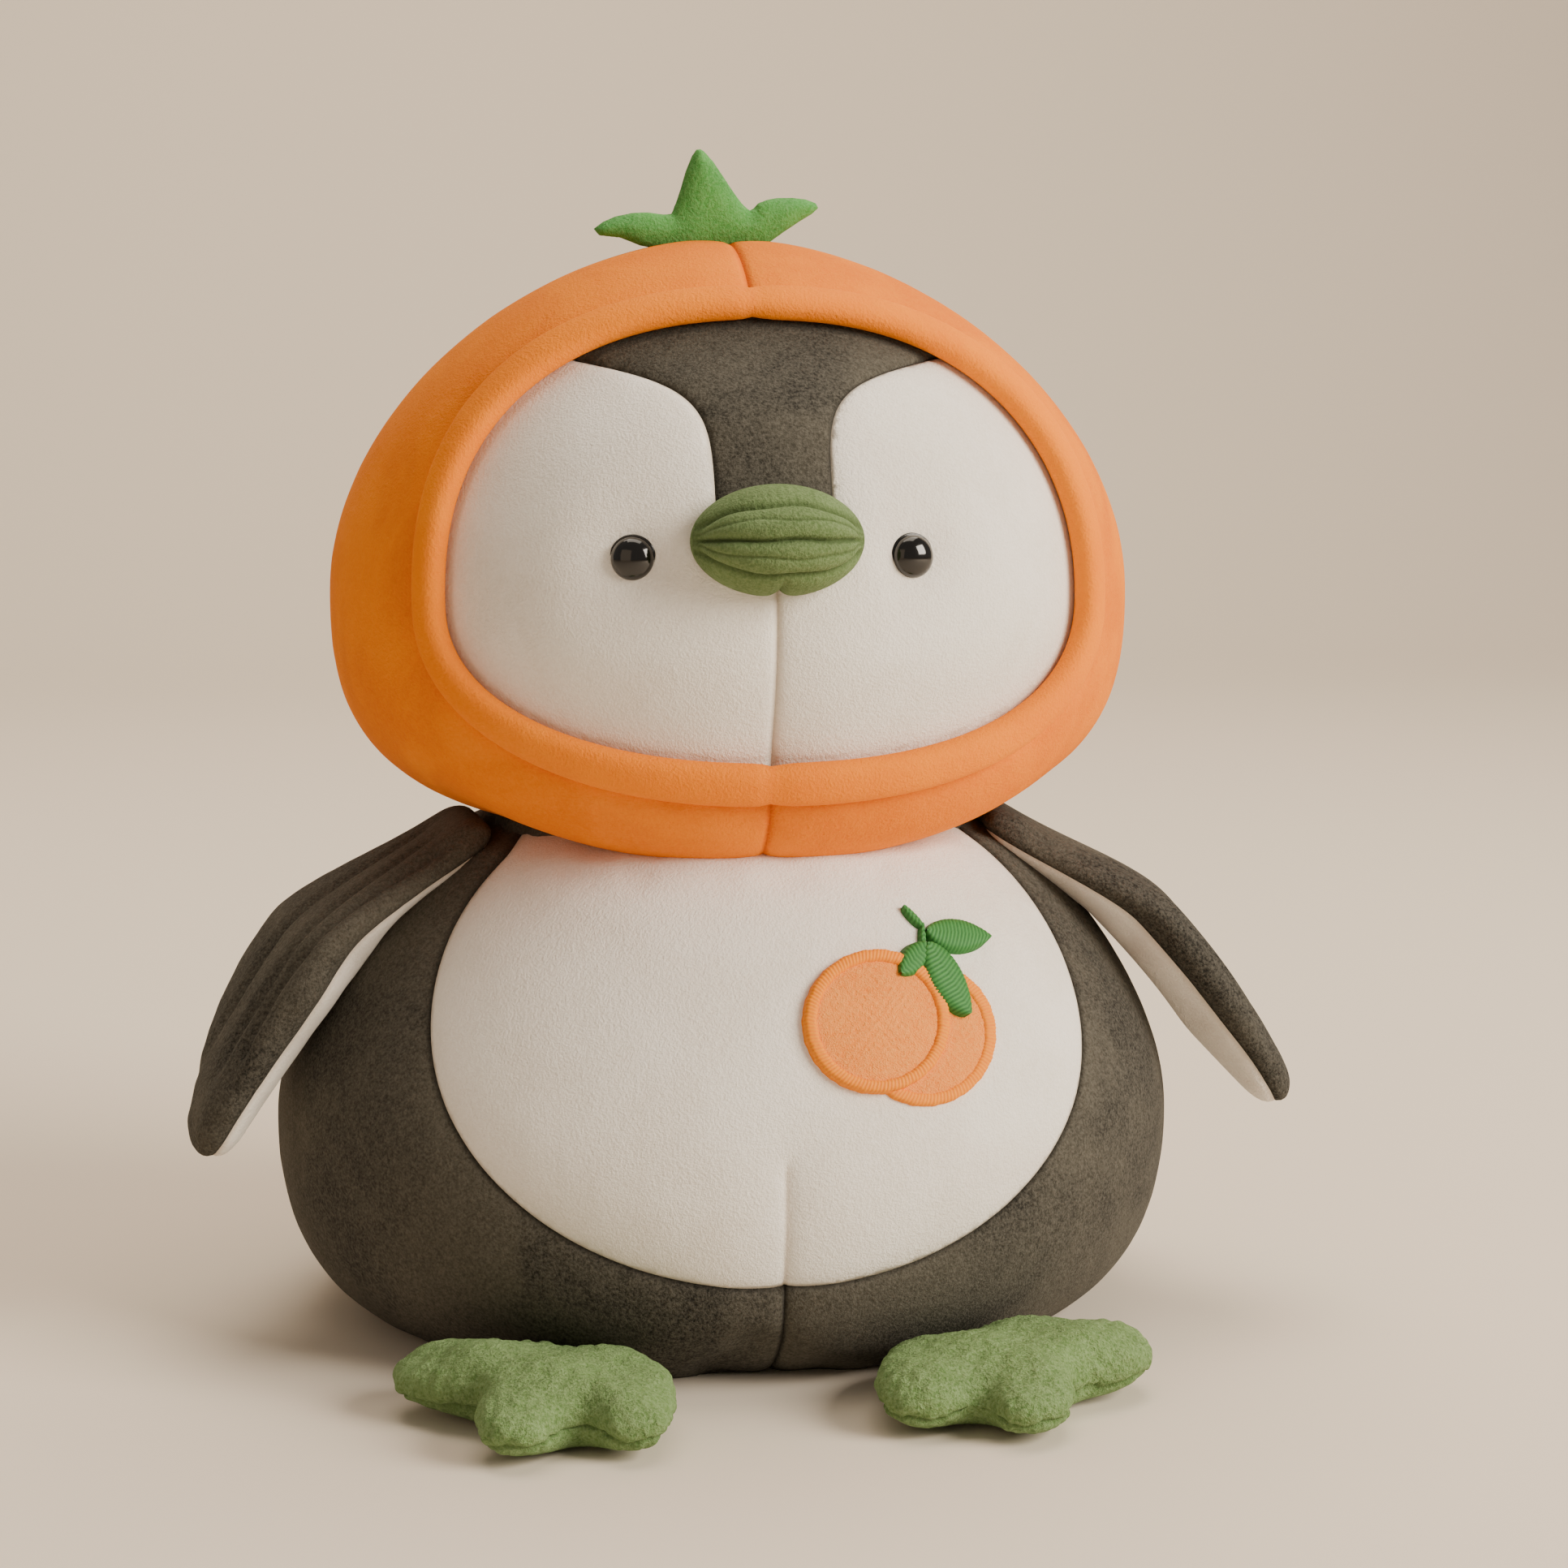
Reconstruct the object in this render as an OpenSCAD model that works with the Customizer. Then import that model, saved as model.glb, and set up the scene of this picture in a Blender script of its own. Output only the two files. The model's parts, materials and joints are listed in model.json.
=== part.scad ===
// A sitting plush penguin in an orange-fruit hood. Soft fabric panels are sewn over stuffed
// cores. The toy faces -Y, +Z is up, and the origin is the middle of its resting base.
// "Left" and "right" are those of a viewer who looks at the toy's face.

/* [Body] */
// Width of the body at its widest
body_w = 278; // [200:1:360]
// Depth of the body from front to back
body_d = 248; // [180:1:320]
// Height of the widest part of the body
belly_z = 66; // [50:1:90]
// Width of the flattened bottom of the body
base_w = 210; // [160:1:240]
// Height of the neck edge
neck_z = 150; // [130:1:190]
// Width of the body at the neck edge
neck_w = 169; // [140:1:190]
// Depth of the hollow in the body's top, where the head sits
neck_dish = 7; // [2:0.5:12]
// Width of the round panel under the body
base_panel_w = 176; // [120:1:200]
// How far behind the middle the side seams run
side_seam_y = 25; // [0:1:60]

/* [Belly panel] */
// Width of the white belly panel
belly_panel_w = 194; // [140:1:240]
// Height of the panel's widest part
belly_panel_z = 99; // [80:1:120]
// Height of the panel's lower tip
belly_panel_low = 32; // [20:1:60]
// How far the panel's curve reaches above its widest part
belly_panel_rise = 73; // [60:1:90]

/* [Fruit patch] */
// Width of one embroidered fruit
fruit_w = 41; // [25:1:55]
// Place of the front fruit, right of the middle
fruit_x = 25; // [5:1:50]
// Height of the front fruit's centre
fruit_z = 105; // [95:1:125]
// Width of the stitched border
border_w = 3.2; // [2:0.1:6]
// Thickness of the pile inside the border
fruit_t = 1; // [0.6:0.1:2]

/* [Head] */
// Width of the head with its hood
head_w = 241; // [180:1:320]
// Depth of the head from front to back
head_d = 202; // [150:1:280]
// Height of the head's widest part above its underside
head_low_h = 74; // [55:1:100]
// Height of the head above its widest part
head_high_h = 105; // [80:1:140]
// Room between the head and the body's top at the middle
head_room = 4; // [3:0.5:8]

/* [Face opening] */
// Width of the opening in the hood
face_w = 180; // [130:1:200]
// Height of the opening above the level of the head's widest part
face_up = 77; // [60:1:85]
// Height of the opening below that level
face_down = 43; // [35:1:55]
// Width of the padded rim at the sides
rim_side = 10; // [6:0.5:16]
// Width of the padded rim at the top
rim_top = 11; // [6:0.5:16]
// Width of the padded rim at the bottom
rim_bottom = 14; // [8:0.5:20]
// How far the rim stands out of the hood
rim_proud = 4; // [2:0.5:8]
// How deep the face lies under the hood's surface
face_drop = 2; // [1:0.5:5]
// Width of the grey forehead stripe at the beak
stripe_w = 33; // [20:1:50]
// Width of the grey forehead at the rim
forehead_w = 98; // [60:1:120]
// Height over which the forehead widens from the beak's middle
forehead_rise = 50; // [30:1:60]

/* [Beak and eyes] */
// Width of the beak
beak_w = 47; // [30:1:70]
// Height of the beak
beak_h = 31; // [20:1:45]
// How far the beak stands out of the face
beak_out = 20; // [12:1:32]
// Height of the beak's centre above the head's widest part
beak_z = 18; // [5:1:30]
// Diameter of an eye
eye_d = 12; // [8:0.5:18]
// Distance between the centres of the eyes
eye_span = 78; // [60:1:100]
// Height of the eyes above the head's widest part
eye_z = 13; // [0:1:25]
// Diameter of the eye's shank
shank_d = 4; // [3:0.5:6]
// Diameter of the lock washer behind the face
washer_d = 16; // [12:0.5:20]

/* [Flippers] */
// Length of a flipper along its curve
flipper_len = 121; // [80:1:150]
// Breadth of a flipper at its middle
flipper_b = 78; // [50:1:90]
// Thickness of a flipper
flipper_t = 14; // [10:0.5:20]
// Room between the flipper and the body where they come closest
flipper_room = 2.2; // [2:0.1:10]
// Angle between the flipper's chord and the body's shoulder
flipper_lift = 7.75; // [4:0.25:30]
// How much the flipper curls down from root to tip
flipper_curl = 24; // [5:1:40]

/* [Feet] */
// Distance of the left foot's centre from the middle
foot_x_left = 62; // [50:1:85]
// Distance of the right foot's centre from the middle
foot_x_right = 57; // [50:1:85]
// Size of the foot's sole pad
foot_pad_w = 54; // [36:1:70]
// Reach of the toes from the foot's centre
toe_reach = 33; // [25:1:50]
// Width of a toe
toe_w = 26; // [18:1:34]
// Thickness of a foot
foot_h = 20; // [14:1:30]
// Turn of both feet, seen from above
foot_turn = -9; // [-20:1:20]

/* [Leaf] */
// Reach of the leaf crown to each side
leaf_reach = 34; // [20:1:50]
// Height of the middle leaf
leaf_h = 25; // [16:1:45]
// Thickness of the leaf crown
leaf_t = 6; // [4:0.5:10]
// Place of the leaf, left of the middle seam
leaf_off = 7; // [0:1:15]

/* [Fabric] */
// Thickness of plush fabric with its pile
fabric_t = 3; // [1.5:0.5:5]
// Room between fabric and what it covers
gap = 0.3; // [0.2:0.1:1]

/* [Hidden] */

// Colours of the fabrics and trim
hood_orange = "#E8731A";
rim_orange = "#F08A28";
plush_white = "#E2DCD3";
plush_grey = "#55514A";
beak_green = "#7E9A63";
foot_green = "#7FA36B";
leaf_green = "#4F9A4B";
thread_green = "#2E8B3A";
fruit_pile = "#F2A56B";
fruit_thread = "#FF9C1E";
fill_white = "#F4F2EC";

// Roundness exponents of the soft outlines: 2 is an ellipse, more is boxier
body_low_n = 2.8;
body_high_n = 1.6;
head_low_n = 2.5;
head_high_n = 1.85;
opening_n = 2.3;
forehead_n = 3;

body_r = body_w / 2;
body_k = body_d / body_w;
head_r = head_w / 2;
head_k = head_d / head_w;
steps = 7;
core_sides = 48;
big = 2 * max(body_w, head_w);

// Half heights of the two ovals that make the pear shape pass its base and its neck
body_low_h = belly_z / pow(1 - pow(base_w / body_w, body_low_n), 1 / body_low_n);
body_high_h = (neck_z - belly_z) / pow(1 - pow(neck_w / body_w, body_high_n), 1 / body_high_n);

head_bottom = neck_z - neck_dish + head_room;
head_z = head_bottom + head_low_h;
head_top = head_z + head_high_h;

// Layers inward from the surface
core_inset = fabric_t + gap;
face_core_inset = face_drop + fabric_t + gap;

function oval_r(r, t, n) = r * pow(max(0, 1 - pow(t, n)), 1 / n);
function body_r_at(z) = z < belly_z
    ? oval_r(body_r, (belly_z - z) / body_low_h, body_low_n)
    : oval_r(body_r, (z - belly_z) / body_high_h, body_high_n);
function head_r_at(z) = z < head_z
    ? oval_r(head_r, (head_z - z) / head_low_h, head_low_n)
    : oval_r(head_r, (z - head_z) / head_high_h, head_high_n);
function raised(c, n) = sign(c) * pow(abs(c), 2 / n);
// Points of an oval with its own reach up and down
function oval(x, z, side, up, down, n, count = 44) = [
    for (i = [0:count - 1])
        let (a = 360 * i / count)
        [x + side * raised(cos(a), n), z + (sin(a) > 0 ? up : down) * raised(sin(a), n)]
];
function mirrored(points) = [for (i = [len(points) - 1:-1:0]) [-points[i][0], points[i][1]]];

// Right-hand outline of the body, from the base up over the hollow top
body_side = concat(
    [for (i = [0:steps]) let (z = belly_z * i / steps) [body_r_at(z), z]],
    [for (i = [1:steps]) let (z = belly_z + (neck_z - belly_z) * i / steps) [body_r_at(z), z]],
    [for (f = [0.85, 0.65, 0.4]) [neck_w / 2 * f, neck_z - neck_dish * (1 - pow(f, 3))]]
);
// Right-hand outline of the head, from its underside up to the crown
head_side = concat(
    [for (a = [14:14:84])
        [head_r * raised(sin(a), head_low_n), head_z - head_low_h * raised(cos(a), head_low_n)]],
    [for (a = [0:13:78])
        [head_r * raised(cos(a), head_high_n), head_z + head_high_h * raised(sin(a), head_high_n)]]
);

module deepen(k) {
    scale([1, k, 1]) children();
}
module turned(inset, side, low, high, sides = 96) {
    rotate_extrude($fn = sides) intersection() {
        offset(delta = -inset) polygon(concat([[0, low]], side, [[0, high]], mirrored(side)));
        translate([0, -big]) square([big, 2 * big]);
    }
}
module body_form(inset, sides = 96) {
    turned(inset, body_side, 0, neck_z - neck_dish, sides);
}
module head_form(inset, sides = 96) {
    turned(inset, head_side, head_bottom, head_top, sides);
}
module body_shell(outside, inside, sides = 96) {
    difference() {
        body_form(outside, sides);
        body_form(inside, sides);
    }
}
module head_shell(outside, inside, sides = 96) {
    difference() {
        head_form(outside, sides);
        head_form(inside, sides);
    }
}
// A flat shape drawn in the front view, run forward from the middle plane
module front_prism() {
    rotate([90, 0, 0]) linear_extrude(big) children();
}
// The part of space on one side of the middle seam, side = -1 for left and 1 for right
module one_side(side) {
    translate([side * (big / 2 + gap / 2), 0, 0]) cube([big, 2 * big, 4 * big], center = true);
}
module in_front(y) {
    translate([0, y - big / 2 - gap / 2, 0]) cube([2 * big, big, 4 * big], center = true);
}
module behind(y) {
    translate([0, y + big / 2 + gap / 2, 0]) cube([2 * big, big, 4 * big], center = true);
}

// ---- Body ----
module belly_outline(grow) {
    polygon(oval(0, belly_panel_z, belly_panel_w / 2 + grow, belly_panel_rise + grow,
                 belly_panel_z - belly_panel_low + grow, 2));
}
module base_hole() {
    translate([0, 0, -1]) cylinder(h = fabric_t + 3, r = base_panel_w / 2 + gap, $fn = 96);
}
module body_stuffing() {
    color(fill_white) deepen(body_k) body_form(core_inset, core_sides);
}
module side_panel(side) {
    color(plush_grey) difference() {
        deepen(body_k) intersection() {
            difference() {
                body_shell(0, fabric_t, core_sides);
                front_prism() belly_outline(gap);
            }
            one_side(side);
            in_front(side_seam_y);
        }
        base_hole();
    }
}
module side_panel_left() {
    side_panel(-1);
}
module side_panel_right() {
    side_panel(1);
}
module back_panel(side) {
    color(plush_grey) difference() {
        deepen(body_k) intersection() {
            body_shell(0, fabric_t, core_sides);
            one_side(side);
            behind(side_seam_y);
        }
        base_hole();
    }
}
module back_panel_left() {
    back_panel(-1);
}
module back_panel_right() {
    back_panel(1);
}
module belly_panel() {
    color(plush_white) deepen(body_k) intersection() {
        body_shell(0, fabric_t);
        front_prism() belly_outline(0);
    }
}
module base_panel() {
    color(plush_grey) cylinder(h = fabric_t, r = base_panel_w / 2, $fn = 96);
}

// ---- Fruit patch: two pile-filled fruits with stitched borders, sewn on the belly ----
// The back fruit shows beside the front one, a little lower
fruit_back_x = fruit_x + fruit_w * 0.41;
fruit_back_z = fruit_z - fruit_w * 0.11;
stalk_end_w = 1.2;
stalk_w = 2.2;
module fruit_outline(x, z, inset) {
    translate([x, z]) circle(r = fruit_w / 2 - inset, $fn = 48);
}
// A thin layer that lies on the belly, between two heights over its surface
module on_belly(low, high) {
    deepen(body_k) intersection() {
        body_shell(-high, -low);
        front_prism() children();
    }
}
module back_fruit_shape(inset) {
    difference() {
        fruit_outline(fruit_back_x, fruit_back_z, inset);
        fruit_outline(fruit_x, fruit_z, -gap);
    }
}
module fruit_back() {
    color(fruit_pile) on_belly(gap, gap + fruit_t) difference() {
        fruit_outline(fruit_back_x, fruit_back_z, border_w + gap);
        fruit_outline(fruit_x, fruit_z, -gap);
    }
}
module fruit_border_back() {
    color(fruit_thread) on_belly(gap, gap + 1.6 * fruit_t) difference() {
        back_fruit_shape(0);
        fruit_outline(fruit_back_x, fruit_back_z, border_w);
    }
}
module fruit_front() {
    color(fruit_pile) on_belly(gap, gap + fruit_t) fruit_outline(fruit_x, fruit_z, border_w + gap);
}
module fruit_border_front() {
    color(fruit_thread) on_belly(gap, gap + 1.6 * fruit_t) difference() {
        fruit_outline(fruit_x, fruit_z, 0);
        fruit_outline(fruit_x, fruit_z, border_w);
    }
}
// One stitched leaf from its stalk end to its tip
module stitched_leaf(from, to, w) {
    hull() {
        translate(from) circle(d = stalk_end_w, $fn = 16);
        translate((from + to) / 2) circle(d = w, $fn = 24);
        translate(to) circle(d = stalk_end_w, $fn = 16);
    }
}
module fruit_leaves() {
    knot = [fruit_x + 0.38 * fruit_w, fruit_z + 0.43 * fruit_w];
    // The stitching is drawn for a fruit of 41 and follows the fruit's size
    unit = fruit_w / 41;
    low_layer = gap + 1.6 * fruit_t + gap;
    color(thread_green) on_belly(low_layer, low_layer + fruit_t) {
        stitched_leaf(knot, knot + [0.7, 5.4] * unit, stalk_w);
        stitched_leaf(knot + [0.7, 5.4] * unit, knot + [-4.1, 10.4] * unit, stalk_w);
        stitched_leaf(knot + [0.7, 4.7] * unit, knot + [21.8, 0.2] * unit, 7.6 * unit);
        stitched_leaf(knot, knot + [10.6, -18.4] * unit, 9.5 * unit);
        stitched_leaf(knot, knot + [-6.8, -5.2] * unit, 6 * unit);
    }
}

// ---- Head ----
module opening_outline(grow_side, grow_top, grow_bottom) {
    polygon(oval(0, head_z, face_w / 2 + grow_side, face_up + grow_top,
                 face_down + grow_bottom, opening_n));
}
module rim_outline(grow) {
    opening_outline(rim_side + grow, rim_top + grow, rim_bottom + grow);
}
// Half width of the grey forehead at a height fraction from the beak up to the rim
function forehead_half(f) = stripe_w / 2 + (forehead_w - stripe_w) / 2 * pow(f, forehead_n);
module forehead_outline(grow) {
    low = head_z + beak_z;
    side = [for (i = [0:10]) let (f = i / 10) [forehead_half(f) + grow, low + forehead_rise * f]];
    polygon(concat(side, [[forehead_half(1) + grow, head_top]], mirrored(concat(side,
        [[forehead_half(1) + grow, head_top]]))));
}
eye_up = head_z + eye_z;
face_a = head_r_at(eye_up) - face_drop;
face_b = face_a * head_k;
eye_y = -face_b * sqrt(1 - pow(eye_span / 2 / face_a, 2));
eye_turn = atan2(eye_span / 2 / pow(face_a, 2), -eye_y / pow(face_b, 2));
shank_len = 14;
washer_t = 2;
// A flat washer needs room behind the face, which slopes and curves away from it
eye_slope = (head_r_at(eye_up - 1) - head_r_at(eye_up + 1)) / 2;
washer_room = 2 * gap + eye_slope * washer_d / 2 + pow(washer_d / 2, 2) * face_a / (2 * pow(face_b, 2));
pocket_depth = 22;
// Puts what is drawn along -Y at one eye, square to the face
module at_eye(side) {
    translate([side * eye_span / 2, eye_y, eye_up]) rotate([0, 0, side * eye_turn]) children();
}
module eye_bores(d) {
    for (side = [-1, 1])
        translate([side * eye_span / 2, 0, eye_up]) rotate([90, 0, 0]) cylinder(h = big, d = d, $fn = 48);
}
module head_stuffing() {
    color(fill_white) difference() {
        deepen(head_k) head_form(face_core_inset, core_sides);
        for (side = [-1, 1])
            translate([side * eye_span / 2, eye_y + pocket_depth, eye_up])
                rotate([90, 0, 0]) cylinder(h = big, d = washer_d + 6, $fn = 48);
    }
}
module hood_panel(side) {
    color(hood_orange) deepen(head_k) intersection() {
        difference() {
            head_shell(0, fabric_t, core_sides);
            front_prism() rim_outline(gap);
        }
        one_side(side);
    }
}
module hood_panel_left() {
    hood_panel(-1);
}
module hood_panel_right() {
    hood_panel(1);
}
module hood_rim(side) {
    color(rim_orange) deepen(head_k) intersection() {
        head_shell(-rim_proud, fabric_t);
        front_prism() difference() {
            rim_outline(0);
            opening_outline(0, 0, 0);
        }
        one_side(side);
    }
}
module hood_rim_left() {
    hood_rim(-1);
}
module hood_rim_right() {
    hood_rim(1);
}
module face_panel(side) {
    color(plush_white) deepen(head_k) intersection() {
        difference() {
            head_shell(face_drop, face_drop + fabric_t);
            front_prism() forehead_outline(gap);
            eye_bores(shank_d + 3);
        }
        front_prism() opening_outline(-gap, -gap, -gap);
        one_side(side);
    }
}
module face_panel_left() {
    face_panel(-1);
}
module face_panel_right() {
    face_panel(1);
}
module forehead_panel() {
    color(plush_grey) deepen(head_k) intersection() {
        head_shell(face_drop, face_drop + fabric_t);
        front_prism() intersection() {
            forehead_outline(0);
            opening_outline(-gap, -gap, -gap);
        }
    }
}
// The beak is half an egg that stands on the front of the face
beak_back = -(head_r - face_drop) * head_k - gap;
beak_up = head_z + beak_z;
module beak_form(inset) {
    intersection() {
        translate([0, beak_back, beak_up])
            scale([beak_w / 2 - inset, beak_out - inset, beak_h / 2 - inset]) sphere(r = 1, $fn = 64);
        translate([0, beak_back - big / 2 - (inset > 0 ? gap : 0), beak_up]) cube(big, center = true);
    }
}
module beak_upper() {
    color(beak_green) difference() {
        beak_form(0);
        beak_form(fabric_t);
        translate([0, beak_back, beak_up - big / 2 + gap / 2]) cube(big, center = true);
    }
}
module beak_lower() {
    color(beak_green) difference() {
        beak_form(0);
        beak_form(fabric_t);
        translate([0, beak_back, beak_up + big / 2 - gap / 2]) cube(big, center = true);
    }
}
module beak_stuffing() {
    color(fill_white) beak_form(core_inset);
}
// A glossy dome on a shank that passes through the face and carries a lock washer
module eye(side) {
    color("#16120F") at_eye(side) rotate([90, 0, 0]) {
        translate([0, 0, gap]) intersection() {
            sphere(d = eye_d, $fn = 64);
            cylinder(h = eye_d, d = eye_d + 2, $fn = 64);
        }
        translate([0, 0, gap - shank_len]) cylinder(h = shank_len + 0.5, d = shank_d, $fn = 32);
    }
}
module eye_left() {
    eye(-1);
}
module eye_right() {
    eye(1);
}
module eye_washer(side) {
    color("#D8D8D4") at_eye(side) rotate([90, 0, 0])
        translate([0, 0, -fabric_t - washer_room - washer_t]) difference() {
            cylinder(h = washer_t, d = washer_d, $fn = 48);
            translate([0, 0, -1]) cylinder(h = washer_t + 2, d = shank_d, $fn = 32);
        }
}
module eye_washer_left() {
    eye_washer(-1);
}
module eye_washer_right() {
    eye_washer(1);
}

// ---- Leaf crown on the hood ----
leaf_fabric = 1.4;
leaf_room = leaf_t / 2;
leaf_z = head_top + leaf_room;
leaf_tip = 3;
// One pointed lobe of the leaf, from its root to a rounded tip
module leaf_lobe(x, z, root) {
    hull() {
        translate([root, leaf_h * 0.12]) circle(d = leaf_h * 0.45, $fn = 24);
        translate([x, z]) circle(d = leaf_tip, $fn = 16);
    }
}
module leaf_outline() {
    intersection() {
        union() {
            leaf_lobe(-leaf_reach + leaf_tip / 2, leaf_tip / 2, -11);
            leaf_lobe(-2, leaf_h - leaf_tip / 2, 1);
            leaf_lobe(leaf_reach - leaf_tip / 2, leaf_h * 0.28, 12);
        }
        translate([-big / 2, 0]) square(big);
    }
}
module leaf_slab(from, to, inset) {
    translate([-leaf_off, 0, leaf_z]) rotate([90, 0, 0]) translate([0, 0, from])
        linear_extrude(to - from) offset(delta = -inset) leaf_outline();
}
module leaf_front() {
    color(leaf_green) difference() {
        leaf_slab(gap / 2, leaf_t / 2, 0);
        leaf_slab(-1, leaf_t / 2 - leaf_fabric, leaf_fabric);
    }
}
module leaf_back() {
    color(leaf_green) difference() {
        leaf_slab(-leaf_t / 2, -gap / 2, 0);
        leaf_slab(leaf_fabric - leaf_t / 2, 1, leaf_fabric);
    }
}
module leaf_stuffing() {
    room = leaf_fabric + gap;
    color(fill_white) leaf_slab(room - leaf_t / 2, leaf_t / 2 - room, room);
}

// ---- Flippers: curved paddles hinged at the shoulders ----
// The chord follows the line from the neck edge to the flank at four fifths of the flipper
flipper_reach = 0.8 * flipper_len;
shoulder_angle = atan2(body_r_at(neck_z - flipper_reach) - body_r_at(neck_z), flipper_reach);
flipper_splay = shoulder_angle + flipper_lift;
flipper_z = neck_z + 3;
flipper_y = -11;
start_angle = flipper_splay + flipper_curl / 2;
bend_r = flipper_len / (flipper_curl * PI / 180);
// The flipper stands off so that no point of its inner face comes nearer than its room
flipper_x = flipper_room + max([for (i = [0:20]) let (a = start_angle - flipper_curl * i / 20)
    body_r_at(flipper_z + bend_r * (sin(a) - sin(start_angle)) - flipper_t / 2 * sin(a))
    - bend_r * (cos(a) - cos(start_angle)) + flipper_t / 2 * cos(a)]);
// Point at fraction s of the flipper's curve, a distance out of its middle surface
function flipper_point(s, out) =
    let (a = start_angle - flipper_curl * s)
    [flipper_x + bend_r * (cos(a) - cos(start_angle)) + out * cos(a),
     flipper_z + bend_r * (sin(a) - sin(start_angle)) + out * sin(a)];
flipper_drop = flipper_z - flipper_point(1, 0)[1];
// Side view of the flipper: a broad straight root that narrows to a tip set forward
module flipper_outline(inset) {
    offset(delta = -inset) hull() {
        translate([flipper_y, flipper_z - 8]) square([flipper_b * 0.88, 28], center = true);
        translate([flipper_y + 1, flipper_z - flipper_drop * 0.45]) circle(d = flipper_b, $fn = 48);
        translate([flipper_y - 14, flipper_z - flipper_drop + 10]) circle(d = flipper_b * 0.36, $fn = 32);
    }
}
module flipper_strip(low, high, end) {
    from = end / flipper_len;
    count = 8;
    polygon(concat(
        [for (i = [0:count]) flipper_point(from + (1 - 2 * from) * i / count, high)],
        [for (i = [count:-1:0]) flipper_point(from + (1 - 2 * from) * i / count, low)]));
}
module flipper_slab(low, high, inset) {
    intersection() {
        rotate([90, 0, 0]) linear_extrude(big, center = true) flipper_strip(low, high, inset);
        rotate([90, 0, 90]) linear_extrude(big) flipper_outline(inset);
    }
}
module outer_cloth() {
    color(plush_grey) difference() {
        flipper_slab(gap / 2, flipper_t / 2, 0);
        flipper_slab(-1, flipper_t / 2 - fabric_t, fabric_t);
    }
}
module inner_cloth() {
    color(plush_white) difference() {
        flipper_slab(-flipper_t / 2, -gap / 2, 0);
        flipper_slab(fabric_t - flipper_t / 2, 1, fabric_t);
    }
}
module flipper_core() {
    color(fill_white) flipper_slab(core_inset - flipper_t / 2, flipper_t / 2 - core_inset, core_inset);
}
module flipper_outer_left() {
    mirror([1, 0, 0]) outer_cloth();
}
module flipper_inner_left() {
    mirror([1, 0, 0]) inner_cloth();
}
module flipper_stuffing_left() {
    mirror([1, 0, 0]) flipper_core();
}
module flipper_outer_right() {
    outer_cloth();
}
module flipper_inner_right() {
    inner_cloth();
}
module flipper_stuffing_right() {
    flipper_core();
}

// ---- Feet: flat three-toed paddles sewn to the front of the base ----
foot_y = -(body_d / 2 - 6);
foot_room = 3;
foot_lift = 0.8;
toe_angles = [176, 256, 304];
// The body with extra room that grows upward, so that a foot can lift its toes
module foot_clearance() {
    zs = [for (i = [0:4]) foot_h * 1.2 * i / 4];
    deepen(body_k) rotate_extrude($fn = 96) polygon(concat(
        [[0, -5], [body_r_at(0) + foot_room, -5]],
        [for (z = zs) [body_r_at(z) + foot_room + foot_lift * z, z]],
        [[body_r_at(foot_h * 1.2) + 30, foot_h * 2], [0, foot_h * 2]]));
}
module foot_outline(inset) {
    offset(delta = -inset) for (a = toe_angles)
        hull() {
            circle(d = foot_pad_w, $fn = 32);
            translate(toe_reach * [cos(a), sin(a)]) circle(d = toe_w, $fn = 24);
        }
}
module foot_slab(side, low, high, inset) {
    x = side < 0 ? foot_x_left : foot_x_right;
    translate([side * x, foot_y, low]) rotate([0, 0, foot_turn]) linear_extrude(high - low)
        scale([-side, 1]) foot_outline(inset);
}
module foot_top(side) {
    color(foot_green) difference() {
        foot_slab(side, foot_h / 2 + gap / 2, foot_h, 0);
        foot_slab(side, 0, foot_h - fabric_t, fabric_t);
        foot_clearance();
    }
}
module foot_sole(side) {
    color(foot_green) difference() {
        foot_slab(side, 0, foot_h / 2 - gap / 2, 0);
        foot_slab(side, fabric_t, foot_h, fabric_t);
        foot_clearance();
    }
}
module foot_stuffing(side) {
    color(fill_white) difference() {
        foot_slab(side, core_inset, foot_h - core_inset, core_inset);
        foot_clearance();
    }
}
module foot_top_left() {
    foot_top(-1);
}
module foot_sole_left() {
    foot_sole(-1);
}
module foot_stuffing_left() {
    foot_stuffing(-1);
}
module foot_top_right() {
    foot_top(1);
}
module foot_sole_right() {
    foot_sole(1);
}
module foot_stuffing_right() {
    foot_stuffing(1);
}

body_stuffing();
side_panel_left();
side_panel_right();
back_panel_left();
back_panel_right();
belly_panel();
base_panel();
fruit_back();
fruit_border_back();
fruit_front();
fruit_border_front();
fruit_leaves();
head_stuffing();
hood_panel_left();
hood_panel_right();
hood_rim_left();
hood_rim_right();
face_panel_left();
face_panel_right();
forehead_panel();
beak_upper();
beak_lower();
beak_stuffing();
eye_left();
eye_right();
eye_washer_left();
eye_washer_right();
leaf_front();
leaf_back();
leaf_stuffing();
flipper_outer_left();
flipper_inner_left();
flipper_stuffing_left();
flipper_outer_right();
flipper_inner_right();
flipper_stuffing_right();
foot_top_left();
foot_sole_left();
foot_stuffing_left();
foot_top_right();
foot_sole_right();
foot_stuffing_right();
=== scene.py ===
"""A sitting plush penguin in an orange fruit hood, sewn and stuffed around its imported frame."""
import json
import math

import bmesh
import bpy
import numpy as np
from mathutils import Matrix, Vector
from mathutils.bvhtree import BVHTree


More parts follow.
